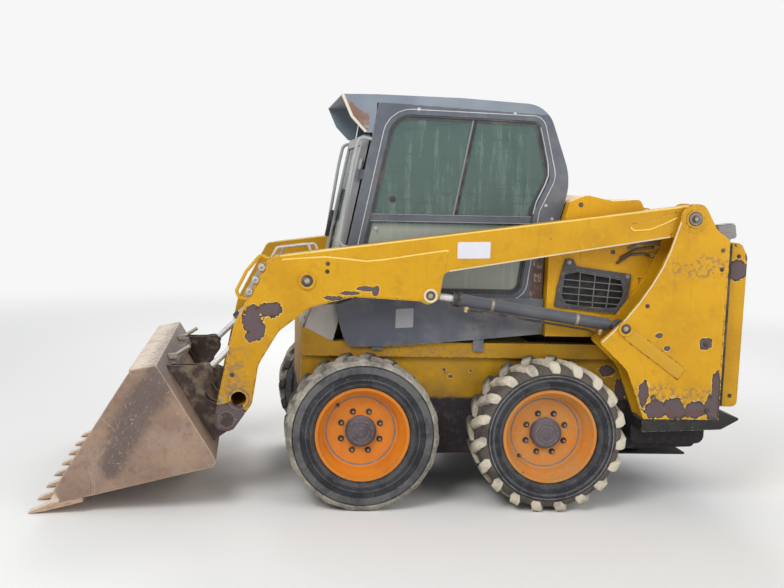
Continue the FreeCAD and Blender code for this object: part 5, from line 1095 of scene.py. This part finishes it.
def upright_pieces(name, side):
    face = UPRIGHT_OUTER_Y
    pivot = [round_boss(*PIVOT_AT, side, ((-0.6, 0), (-0.6, 34), (0.8, 34), (0.8, 0)), dark_steel, 48),
             round_boss(*PIVOT_AT, side, ((0.4, 24), (0.4, 30), (3, 30), (4, 28.5), (4, 24)), weld_steel, 48),
             round_boss(*PIVOT_AT, side, ((0.6, 0), (0.6, 20), (8, 19), (9.5, 17), (9.5, 0)), dark_steel, 6),
             round_boss(*PIVOT_AT, side, ((9, 0), (9, 9), (11.4, 8), (11.4, 0)), pin_steel, 16)]
    keep(f"pivot_bolt_{name}", pivot, "chassis", "worn_steel")
    base = pin_end(*LIFT_BASE, face + 8, side, 36, upright_yellow)
    plugs = [bolts([(1635, side * (face + 0.2), 822), (1395, side * (face + 0.2), 560),
                    (1660, side * (face + 0.2), 500)], 9, (0, side, 0), dark_steel, 20),
             bolts([(1342, side * (face + 0.2), 1000), (1690, side * (face + 0.2), 1270),
                    (1690, side * (face + 0.2), 1180)], 7, (0, side, 0), dark_steel)]
    keep(f"upright_fixings_{name}", base + plugs, "chassis", "worn_steel")
    seam = weld([[(x, side * (face + 0.4), z) for x, z in
                  ((1262, 898), (1400, 806), (1540, 704), (1526, 676), (1505, 648), (1370, 746), (1232, 842))],
                 [(1716, side * (face + 0.2), z) for z in (466, 800, 1178)]], upright_yellow, 2.8, 5.0)
    ring = [(PIVOT[0] + 44 * math.cos(t / 24 * 2 * math.pi), side * (face + 0.8),
             PIVOT[1] + 44 * math.sin(t / 24 * 2 * math.pi)) for t in range(24)]
    ring_seam = weld_bead.grow(lines(ring, closed=True), Radius=0.004, Step=0.006, Finish=upright_yellow)
    front_edge = [(1128, 822), (1180, 872), (1238, 934), (1300, 1014), (1358, 1103), (1402, 1182), (1436, 1266),
                  (1462, 1350), (1486, 1430)]
    # A pale pipe down the rolled front edge: painted highlight.
    rolled_highlight = pipe([[(x + 4, side * (face - 0.6), z) for x, z in front_edge]], 4.0, pale_edge, 60, 10)
    disc = round_boss(PIVOT[0], face, PIVOT[1], side, ((0, 36), (0, 68), (2.2, 67.4), (3.4, 65.6), (3.4, 36)),
                      upright_yellow, 64)
    bm = bmesh.new()
    slab(bm, [(1270, 894, 8), (1540, 700, 8), (1505, 652, 8), (1235, 846, 8)], side * (face + 5.6),
         side * (face + 7.0), 0.5)
    rib = meshed(bm, rib_yellow)
    keep(f"upright_welds_{name}", [seam, ring_seam, rolled_highlight, disc, rib], "chassis", "yellow_paint")


PIVOT_AT = (PIVOT[0], UPRIGHT_OUTER_Y + 10, PIVOT[1])
for name, side in SIDES:
    upright_pieces(name, side)

GRILLE_OUTSIDE = [(976, 1172, 6), (1046, 1172, 12), (1314, 1138, 8), (1306, 1054, 30), (1280, 944, 10),
                  (1170, 948, 30), (940, 972, 8), (950, 1066, 30)]
GRILLE_OPENING = [(984, 1132, 14), (1043, 1144, 30), (1264, 1108, 14), (1280, 1040, 40), (1250, 972, 14),
                  (1167, 968, 40), (998, 988, 14), (972, 1030, 40)]


def grille_pieces(name, side):
    outer = HOOD_HALF_WIDTH + 12
    bm = bmesh.new()
    rim_plate(bm, GRILLE_OUTSIDE, GRILLE_OPENING, side * HOOD_HALF_WIDTH, side * (outer - 2))
    rim_plate(bm, inset(GRILLE_OPENING, -12), GRILLE_OPENING, side * (outer - 3), side * outer)
    slab(bm, [(974, 1166, 2), (986, 1208, 10), (1022, 1208, 10), (1044, 1168, 2)],
         side * HOOD_HALF_WIDTH, side * (outer - 2.4), 0.8)
    surround = meshed(bm, grille_black)
    wires = []
    for share in (0.27, 0.53, 0.79):
        top = (984 + 286 * share, 1150 - 34 * share)
        low = (986 + 268 * share, 984 - 22 * share)
        wires.append([(top[0], side * (outer - 5), top[1]), (low[0], side * (outer - 5), low[1])])
    for share in (0.2, 0.43, 0.66, 0.88):
        start = (966 + 22 * share * 0.6, 1138 - 150 * share)
        end = (1284 - 24 * share, 1112 - 142 * share)
        wires.append([(start[0], side * (outer - 8), start[1]), (end[0], side * (outer - 8), end[1])])
    mesh = pipe(wires, 2.7, grille_wire, 1.0, 8)
    # A near-black sheet behind the wires: painted shade inside the hood.
    bm = bmesh.new()
    slab(bm, [(988, 1156, 2), (1046, 1160, 2), (1298, 1124, 2), (1268, 960, 2), (950, 980, 2)],
         side * 462, side * 466)
    dark = meshed(bm, grille_shade_black)
    heads = bolts([(1004, side * (outer - 2.4), 1191), (1296, side * (outer - 2), 1126)], 7,
                  (0, side, 0), pin_steel)
    keep(f"air_grille_{name}", [surround, mesh, dark, heads], "chassis", "black_paint",
         f"side_grille_{name}")
    hood = bolts([(1050, side * HOOD_HALF_WIDTH, 1470), (1219, side * HOOD_HALF_WIDTH, 1244),
                  (1330, side * HOOD_HALF_WIDTH, 1400), (1330, side * HOOD_HALF_WIDTH, 1000)], 8, (0, side, 0),
                 dark_steel)
    keep(f"hood_bolts_{name}", hood, "chassis", "worn_steel")


for name, side in SIDES:
    grille_pieces(name, side)


def under_pivot_pipes(name, side):
    """The hard pipes from the valve block to the pivot, in front of the upright."""
    y = side * 487.5
    brown = pipe([[(1240, y, 1190), (1300, y, 1232), (1360, y, 1240), (1430, y, 1222)],
                        [(1255, y, 1215), (1325, y, 1258), (1418, y, 1272), (1470, y, 1262)]], 6.8, pipe_brown, 40)
    pale = pipe([[(1290, y, 1262), (1345, y, 1288), (1430, y, 1296), (1490, y, 1290)]], 6.2, wire_grey, 40)
    fittings = []
    for x, z in ((1418, 1272), (1400, 1232), (1330, 1280)):
        bm = bmesh.new()
        turned(bm, at(x, y, z), (1, 0, 0.1), ((0, 0), (0, 10), (4, 11), (16, 11), (18, 8.4), (34, 8.4), (34, 0)), 6)
        fittings.append(meshed(bm, brass))
    keep(f"valve_pipes_{name}", [brown, pale, *fittings], "chassis", "worn_steel")


for name, side in SIDES:
    under_pivot_pipes(name, side)


def tail_pieces():
    lens = []
    for name, side in SIDES:
        bm = bmesh.new()
        slab(bm, [(1752, 1391, 2), (1756.5, 1391, 3), (1766, 1336, 3), (1761, 1336, 2)], side * 552, side * 608, 1.0)
        lens.append(meshed(bm, red_lens))
        bm = bmesh.new()
        slab(bm, [(1676, 1387, 3), (1750, 1397.5, 3), (1750, 1399, 3), (1676, 1389, 3)], side * 548, side * 612)
        lens.append(meshed(bm, wire_grey))
    keep("lamp_lenses", lens, "chassis", "lamp_plastic")

    bm = bmesh.new()
    slab(bm, [(1830, 683, 0.5), (1837.5, 682, 1), (1837.5, 678, 1), (1818, 656, 0.5), (1816, 659, 0.5)], -302, 302)
    blades = straight_row.grow(meshed(bm, tail_yellow), Count=7, Step=(0, 0, 0.052), Finish=tail_yellow)
    keep("tailgate_louvres", blades, "tailgate", "yellow_paint")
    bm = bmesh.new()
    slab(bm, [(-505, 836, 10), (-415, 836, 10), (-415, 944, 10), (-505, 944, 10)], 1839.4, 1841.6, 0.6, front_plane)
    paddle = meshed(bm, bumper_black)
    bm = bmesh.new()
    slab(bm, [(-130, 560, 4), (130, 560, 4), (130, 640, 4), (-130, 640, 4)], 1838.0, 1840.0, 0.4, front_plane)
    blank = meshed(bm, label_pale)
    edge_bolts = bolts([(1800, -575, 1240), (1800, -575, 560), (1790, 575, 1250), (1790, 575, 560)], 7, (0, -1, 0),
                       dark_steel)
    # A thin black strip down each side of the tailgate, in the gap beside it: painted shade.
    bm = bmesh.new()
    for name, side in SIDES:
        slab(bm, [(1746.5, 512, 1), (1764, 512, 1), (1765, 1298, 1), (1746.5, 1298, 1)], side * 574.6, side * 577.2,
             0.8)
    seal = meshed(bm, seal_black)
    keep("tailgate_fittings", [paddle, blank, edge_bolts, seal], "tailgate", "black_paint")

    bm = bmesh.new()
    slope = math.atan2(1306 - 1440, 1712 - 1372)
    ux, uz = math.cos(slope), math.sin(slope)
    start = (1372 + ux * 30 - uz * 3, 1440 + uz * 30 + ux * 3)
    stop = (1372 + ux * 332 - uz * 3, 1440 + uz * 332 + ux * 3)
    slab(bm, [(start[0], start[1], 0), (stop[0], stop[1], 0), (stop[0], stop[1] + 5, 0), (start[0], start[1] + 5, 0)],
         -414, -411)
    grid = straight_row.grow(meshed(bm, wire_grey), Count=31, Step=(0, 0.0275, 0), Finish=wire_grey)
    keep("screen_wires", grid, "rear_screen", "black_paint")
    bm = bmesh.new()
    low = 42
    a = (1372 + ux * 24 + uz * low, 1440 + uz * 24 - ux * low)
    b = (1372 + ux * 338 + uz * low, 1440 + uz * 338 - ux * low)
    slab(bm, [(a[0], a[1], 0), (b[0], b[1], 0), (b[0], b[1] - 50, 0), (a[0], a[1] - 50, 0)], -424, 424)
    core = meshed(bm, black_plastic)
    bm = bmesh.new()
    slab(bm, [(a[0], a[1], 0), (b[0], b[1], 0), (b[0], b[1] + 9, 0), (a[0], a[1] + 9, 0)], -420, -418.4)
    fins = straight_row.grow(meshed(bm, wire_grey), Count=70, Step=(0, 0.0121, 0), Finish=wire_grey)
    keep("cooler_core", [core, fins], "chassis", "black_paint")

    latch = bmesh.new()
    block(latch, (1697, 0, 1322), (30, 90, 14), 3, (0, 21.5, 0))
    keep("screen_latch", meshed(latch, bumper_black), "rear_screen", "black_paint")
    heads = bolts([(1780, y, 470) for y in (-560, -520, 520, 560)], 10, (0, 0, 1), pin_steel)
    keep("bumper_bolts", heads, "chassis", "worn_steel")


tail_pieces()


# ---- cab

CAB_WINDOW = [(-45, 1021.8, 50), (128, 1887.8, 110), (846, 1867.5, 44), (912, 1599.8, 90), (838, 1439.6, 70),
              (786, 1021.8, 60)]


def cab_side_pieces(name, side):
    face = CAB_HALF_WIDTH
    bm = bmesh.new()
    rim_plate(bm, inset(CAB_WINDOW, 0.4), inset(CAB_WINDOW, 9), side * (face - 15.8), side * (face - 4))
    seal = meshed(bm, window_seal)
    bm = bmesh.new()
    rim_plate(bm, inset(CAB_WINDOW, 9), inset(CAB_WINDOW, 24), side * (face - 15.8), side * (face - 13))
    band = meshed(bm, window_seal)
    bm = bmesh.new()
    # A thin pale outline round the window's outer step: painted highlight.
    rim_plate(bm, inset(CAB_WINDOW, -26), inset(CAB_WINDOW, -22), side * face, side * (face + 1.6))
    step_highlight = meshed(bm, trim_pale)
    # A pale line down the window's rear edge: painted highlight.
    rear = [(852, 1838), (875, 1748), (895, 1665), (899, 1610), (884, 1562), (845, 1478), (832, 1420)]
    bright = pipe([[(x, side * (face - 3), z) for x, z in rear]], 3.0, trim_pale, 30, 8)
    bm = bmesh.new()
    slab(bm, [(438, 1402, 1), (445, 1402, 1), (527, 1866, 1), (520, 1866, 1)], side * (face - 16), side * (face - 12), 1)
    stile = meshed(bm, trim_grey)
    bm = bmesh.new()
    slab(bm, [(445, 1402, 1), (459, 1402, 1), (541, 1866, 1), (527, 1866, 1)], side * (face - 16), side * (face - 9), 1)
    dark_stile = meshed(bm, seal_black)
    bars = pipe([[(38, side * (face - 7), 1404), (828, side * (face - 7), 1404)],
                 [(34, side * (face - 7), 1371), (822, side * (face - 7), 1371)]], 2.6, trim_grey, 1, 8)
    knob = round_boss(143, face - 15, 1478, side, ((0, 0), (0, 14), (6, 14), (8, 12), (8, 8), (5, 7), (5, 0)),
                      black_plastic, 24)
    screws = bolts([(893, side * face, 1462), (926, side * face, 1397), (254, side * face, 1910),
                    (721, side * face, 1900), (62, side * face, 1336), (-40, side * face, 990),
                    (840, side * face, 1000)], 5.5, (0, side, 0), trim_pale, 12)
    keep(f"window_trim_{name}", [seal, band, step_highlight, bright, stile, dark_stile, bars, knob, screws], "chassis",
         "black_paint")
    bm = bmesh.new()
    slab(bm, [(-124, 1975, 2), (-74, 1866, 20), (-4, 1794, 2), (6, 1800, 2), (-62, 1872, 20), (-109, 1975, 2)],
         side * (face - 0.4), side * (face + 2.4), 0.8)
    flange = meshed(bm, flange_cream)
    bm = bmesh.new()
    slab(bm, [(-103, 1948, 4), (-66, 1878, 20), (0, 1808, 4), (12, 1810, 4), (22, 1878, 14), (-38, 1906, 30),
              (-70, 1936, 10)], side * (face - 0.2), side * (face + 1.2), 0.4)
    cheek = meshed(bm, visor_rust)
    keep(f"visor_flange_{name}", [flange, cheek], "chassis", "cab_paint")


for name, side in SIDES:
    cab_side_pieces(name, side)


def cab_front_x(z):
    return -128 + 172 * (z - 962) / 864


def cab_pieces():
    bm = bmesh.new()
    for y in (-250, 0, 250):
        slab(bm, [(200, 1960, 0), (205, 1975.5, 6), (790, 1961, 10), (830, 1935, 4), (460, 1955, 0)], y - 38, y + 38,
             1.5)
    keep("roof_ribs", meshed(bm, roof_sky_reflection_grey), "chassis", "cab_paint")
    seal_path = ((1462, 979.5), (1520, 993.5), (1560, 997), (1585, 997.5), (1620, 993.5), (1660, 983), (1750, 951),
                 (1838, 919.5))
    ring = [(x, -328, z) for z, x in seal_path] + [(x, 328, z) for z, x in reversed(seal_path)]
    keep("rear_window_seal", pipe([ring], 6, seal_black, 24, 10, closed=True), "chassis", "black_paint")

    arm = pipe([[(cab_front_x(1090) - 44, 40, 1090), (cab_front_x(1330) - 46, 92, 1330)]], 4, black_plastic, 1, 8)
    blade = pipe([[(cab_front_x(1150) - 38, 60, 1150), (cab_front_x(1520) - 38, 126, 1520)]], 5, seal_black, 1, 6)
    bm = bmesh.new()
    block(bm, (cab_front_x(1085) - 46, 40, 1085), (26, 60, 46), 5, (0, -11, 0))
    motor = meshed(bm, black_plastic)
    bm = bmesh.new()
    block(bm, (cab_front_x(1330) - 52, 340, 1330), (22, 30, 150), 5, (0, 11, 0))
    handle = meshed(bm, black_plastic)
    keep("door_fittings", [arm, blade, motor, handle], "door", "black_paint")

    bm = bmesh.new()
    turned(bm, at(-228, -360, 948.6), (0.14, 0, 1), ((-1, 0), (-1, 8), (2.4, 7), (4.2, 4.6), (4.6, 0)), 10)
    studs = meshed(bm, step_grey)
    row = straight_row.grow(studs, Count=19, Step=(0, 0.04, 0), Finish=step_grey)
    rows = straight_row.grow(row, Count=4, Step=(0.032, 0, 0.0055), Finish=step_grey)
    keep("step_studs", rows, "chassis", "grey_paint")
    holes = bolts([(-262, side * y, 880) for side in (-1, 1) for y in (120, 330)], 10, (-0.9, 0, 0.4), dark_steel)
    keep("sill_bolts", holes, "chassis", "worn_steel")


cab_pieces()


# ---- inside the cab


def cushion(name, centre, size, crown, finish):
    """A padded seat piece: a soft box blown up a little, with its corners held in."""
    bm = bmesh.new()
    block(bm, centre, size, min(size) * 0.24)
    mesh = meshed(bm, finish)
    piece = bpy.data.objects.new(name, mesh)
    bpy.context.collection.objects.link(piece)
    low = [min(v.co[i] for v in mesh.vertices) - crown / 1000 for i in range(3)]
    high = [max(v.co[i] for v in mesh.vertices) + crown / 1000 for i in range(3)]
    remesh = piece.modifiers.new("remesh", "REMESH")
    remesh.mode = "VOXEL"
    remesh.voxel_size = 0.009
    cloth = piece.modifiers.new("cloth", "CLOTH")
    cloth.settings.use_pressure = True
    cloth.settings.uniform_pressure_force = 4.0
    cloth.settings.effector_weights.gravity = 0.0
    cloth.point_cache.frame_start = 1
    cloth.point_cache.frame_end = 14
    for step in range(1, 15):
        bpy.context.scene.frame_set(step)
    ready = piece.evaluated_get(bpy.context.evaluated_depsgraph_get())
    soft = bpy.data.meshes.new_from_object(ready)
    bpy.data.objects.remove(piece)
    bpy.context.scene.frame_set(1)
    for vertex in soft.vertices:
        for i in range(3):
            vertex.co[i] = min(max(vertex.co[i], low[i]), high[i])
    soft.materials.clear()
    soft.materials.append(finish)
    return soft


def seat_pieces():
    shelf = 778
    bm = bmesh.new()
    block(bm, (540, 0, shelf + 34), (320, 360, 68), 8)
    block(bm, (520, 0, shelf + 76), (430, 420, 18), 6)
    block(bm, (776, 0, shelf + 360), (22, 400, 440), 8, (0, -3, 0))
    pan = meshed(bm, black_plastic)
    keep("seat_pan", pan, "chassis", "seat_plastic", "seat")
    bottom = keep("seat_cushion", cushion("bottom", (515, 0, shelf + 122), (420, 410, 66), 12, seat_vinyl),
                  "chassis", "seat_plastic", crease=80)
    back = keep("seat_back", cushion("back", (742, 0, shelf + 366), (56, 400, 420), 12, seat_vinyl), "chassis",
                "seat_plastic", crease=80)
    pods = bmesh.new()
    for side in (-1, 1):
        block(pods, (150, side * 300, 1842), (150, 110, 90), 10, (0, 18, 0))
    keep("instrument_pods", meshed(pods, black_plastic), "chassis", "seat_plastic")
    grips = []
    for side in (-1, 1):
        bm = bmesh.new()
        turned(bm, at(214, side * 332.5, 962), (-0.17, 0, 1),
               ((0, 0), (0, 30), (4, 44), (14, 42), (20, 32), (26, 38), (32, 36), (38, 26), (44, 31), (50, 28),
                (58, 16), (58, 0)), 20)
        grips.append(meshed(bm, seal_black))
    keep("lever_boots", grips, "chassis", "black_paint")


seat_pieces()


# ---- bucket

TIP_COS = math.cos(math.radians(14.2))
TIP_SIN = math.sin(math.radians(14.2))
BUCKET_HALF_WIDTH = 740


def tipped(u, v, depth):
    """A place from the level bucket's own drawing, which is set out about the coupler pin."""
    return at(COUPLER_PIN[0] + u * TIP_COS - v * TIP_SIN, depth, COUPLER_PIN[1] + u * TIP_SIN + v * TIP_COS)


def bucket_back(v):
    return -92 - 152 * (v + 113) / 462


BUCKET_SIDE = [(-820, -176, 0), (-78, -176, 62), (-92, -113, 10), (bucket_back(33), 33, 300), (-244, 349, 6),
               (-362, 355, 6), (-568, 157, 0), (-800, -68, 20), (-844, -112, 10)]
BUCKET_SHEET = [(-820, -176, 0), (-78, -176, 62), (-92, -113, 10), (bucket_back(33), 33, 300), (-244, 349, 6),
                (-362, 355, 2), (-362, 345, 2), (-256, 340, 6), (bucket_back(33) - 10, 33, 290), (-102, -113, 10),
                (-90, -166, 52), (-820, -166, 0)]
SIDE_CUTTER = [(-500, 100, 16), (-548, 172, 4), (-568, 157, 0), (-800, -68, 12), (-842, -112, 8), (-820, -174, 3),
               (-668, -174, 4), (-651, -120, 20), (-655, -67, 20), (-623, -23, 20), (-538, 41, 20)]


def bucket_pieces():
    wall = BUCKET_HALF_WIDTH - 3
    forms = []
    bm = bmesh.new()
    slab(bm, BUCKET_SHEET, -wall + 12, wall - 12, 0, tipped)
    for side in (-1, 1):
        slab(bm, BUCKET_SIDE, side * (wall - 13), side * wall, 1.2, tipped)
        slab(bm, SIDE_CUTTER, side * (wall - 1), side * (wall + 0.9), 0.5, tipped)
        slab(bm, [(-372, 352, 4), (-244, 348, 6), (-232, 310, 8), (-262, 316, 20), (-366, 326, 4)],
             side * (wall - 1), side * (wall + 2.6), 0.8, tipped)
    forms.append(meshed(bm, bucket_brown))
    bm = bmesh.new()
    slab(bm, [(-372, 356, 3), (-246, 350, 5), (-246, 332, 5), (-372, 338, 3)], -wall + 14, wall - 14, 1, tipped)
    for y in (-420, 0, 420):
        slab(bm, [(-104, -108, 6), (-76, -96, 6), (-120, 20, 10), (-138, 20, 4)], y - 5, y + 5, 1, tipped)
    for y in (-560, -190, 190, 560):
        slab(bm, [(-730, -176, 2), (-150, -176, 2), (-170, -188, 4), (-710, -188, 4)], y - 38, y + 38, 1, tipped)
    forms.append(meshed(bm, bucket_brown))
    seams = []
    for side in (-1, 1):
        seams.append([(u, side * (wall - 1.4), v) for u, v in
                      ((-541, 46), (-625, -20), (-657, -67), (-654, -120), (-669, -170))])
        seams.append([(u, side * (wall - 15), v) for u, v in
                      ((-800, -164), (-96, -164), (-112, -113), (-152, 33), (-258, 336), (-350, 342))])
    seed = bpy.data.meshes.new("seed")
    places = []
    edges = []
    for seam in seams:
        first = len(places)
        places.extend(tipped(u, v, y) for u, y, v in seam)
        edges.extend((i, i + 1) for i in range(first, len(places) - 1))
    seed.from_pydata(places, edges, [])
    forms.append(weld_bead.grow(seed, Radius=0.0036, Step=0.0052, Finish=weld_steel))
    keep("bucket_body", forms, "bucket", "worn_steel", "bucket_shell")


bucket_pieces()


# ---- floor, light and camera


def floor():
    """A pale floor that keeps the shadow near the machine and melts into white far off."""
    bm = bmesh.new()
    bmesh.ops.create_circle(bm, cap_ends=True, segments=64, radius=60.0)
    mesh = bpy.data.meshes.new("floor")
    bm.to_mesh(mesh)
    piece = bpy.data.objects.new("floor", mesh)
    bpy.context.collection.objects.link(piece)
    material = bpy.data.materials.new("floor_pale")
    material.use_nodes = True
    tree = material.node_tree
    shader = tree.nodes["Principled BSDF"]
    shader.inputs["Base Color"].default_value = (0.9, 0.89, 0.87, 1.0)
    shader.inputs["Roughness"].default_value = 0.85
    shader.inputs["Specular IOR Level"].default_value = 0.1
    place = tree.nodes.new("ShaderNodeTexCoord").outputs["Object"]
    away = tree.nodes.new("ShaderNodeVectorMath")
    away.operation = "LENGTH"
    tree.links.new(place, away.inputs[0])
    far = tree.nodes.new("ShaderNodeMapRange")
    far.interpolation_type = "SMOOTHSTEP"
    tree.links.new(away.outputs["Value"], far.inputs["Value"])
    far.inputs["From Min"].default_value = 3.2
    far.inputs["From Max"].default_value = 10.0
    glow = tree.nodes.new("ShaderNodeEmission")
    glow.inputs["Color"].default_value = (0.93, 0.93, 0.93, 1.0)
    mixed = tree.nodes.new("ShaderNodeMixShader")
    tree.links.new(far.outputs[0], mixed.inputs[0])
    tree.links.new(shader.outputs[0], mixed.inputs[1])
    tree.links.new(glow.outputs[0], mixed.inputs[2])
    tree.links.new(mixed.outputs[0], tree.nodes["Material Output"].inputs["Surface"])
    mesh.materials.append(material)


def lights():
    world = bpy.data.worlds.new("studio")
    bpy.context.scene.world = world
    world.use_nodes = True
    tree = world.node_tree
    soft = tree.nodes["Background"]
    soft.inputs["Color"].default_value = (0.92, 0.96, 1.0, 1.0)
    soft.inputs["Strength"].default_value = 0.46
    seen = tree.nodes.new("ShaderNodeBackground")
    seen.inputs["Color"].default_value = (0.93, 0.93, 0.93, 1.0)
    rays = tree.nodes.new("ShaderNodeLightPath")
    shown = rays.outputs["Is Camera Ray"]
    for kind in ("Is Transmission Ray", "Is Glossy Ray"):
        either = tree.nodes.new("ShaderNodeMath")
        either.operation = "MAXIMUM"
        tree.links.new(shown, either.inputs[0])
        tree.links.new(rays.outputs[kind], either.inputs[1])
        shown = either.outputs[0]
    mixed = tree.nodes.new("ShaderNodeMixShader")
    tree.links.new(shown, mixed.inputs[0])
    tree.links.new(soft.outputs[0], mixed.inputs[1])
    tree.links.new(seen.outputs[0], mixed.inputs[2])
    tree.links.new(mixed.outputs[0], tree.nodes["World Output"].inputs["Surface"])
    for name, place, aim, size, power in (
            ("key", (-3.2, -5.4, 5.6), (0.0, 0.0, 0.6), 3.0, 300.0),
            ("fill", (4.6, -5.0, 3.4), (0.2, 0.0, 0.7), 4.0, 120.0),
            ("back", (1.5, 5.5, 5.0), (0.0, 0.0, 0.7), 4.0, 240.0)):
        lamp = bpy.data.lights.new(name, "AREA")
        lamp.size = size
        lamp.energy = power
        made = bpy.data.objects.new(name, lamp)
        made.location = place
        made.rotation_euler = (Vector(aim) - Vector(place)).to_track_quat("-Z", "Y").to_euler()
        bpy.context.collection.objects.link(made)


def camera():
    yaw, pitch, roll = (math.radians(angle) for angle in (2.71, 6.09, 1.235))
    forward = Vector((math.sin(yaw) * math.cos(pitch), math.cos(yaw) * math.cos(pitch), -math.sin(pitch)))
    level = Vector((math.cos(yaw), -math.sin(yaw), 0.0))
    above = level.cross(forward)
    right = math.cos(roll) * level + math.sin(roll) * above
    up = math.cos(roll) * above - math.sin(roll) * level
    lens = bpy.data.cameras.new("camera")
    lens.sensor_width = 36.0
    lens.lens = 36.0 * 1000.0 / 784.0
    lens.shift_x = (392.0 - 300.0) / 784.0
    made = bpy.data.objects.new("camera", lens)
    made.matrix_world = Matrix((right, up, -forward)).transposed().to_4x4()
    made.location = at(-528, -5269, 1525)
    bpy.context.collection.objects.link(made)
    bpy.context.scene.camera = made


floor()
lights()
camera()
bpy.context.scene.view_settings.view_transform = "Standard"
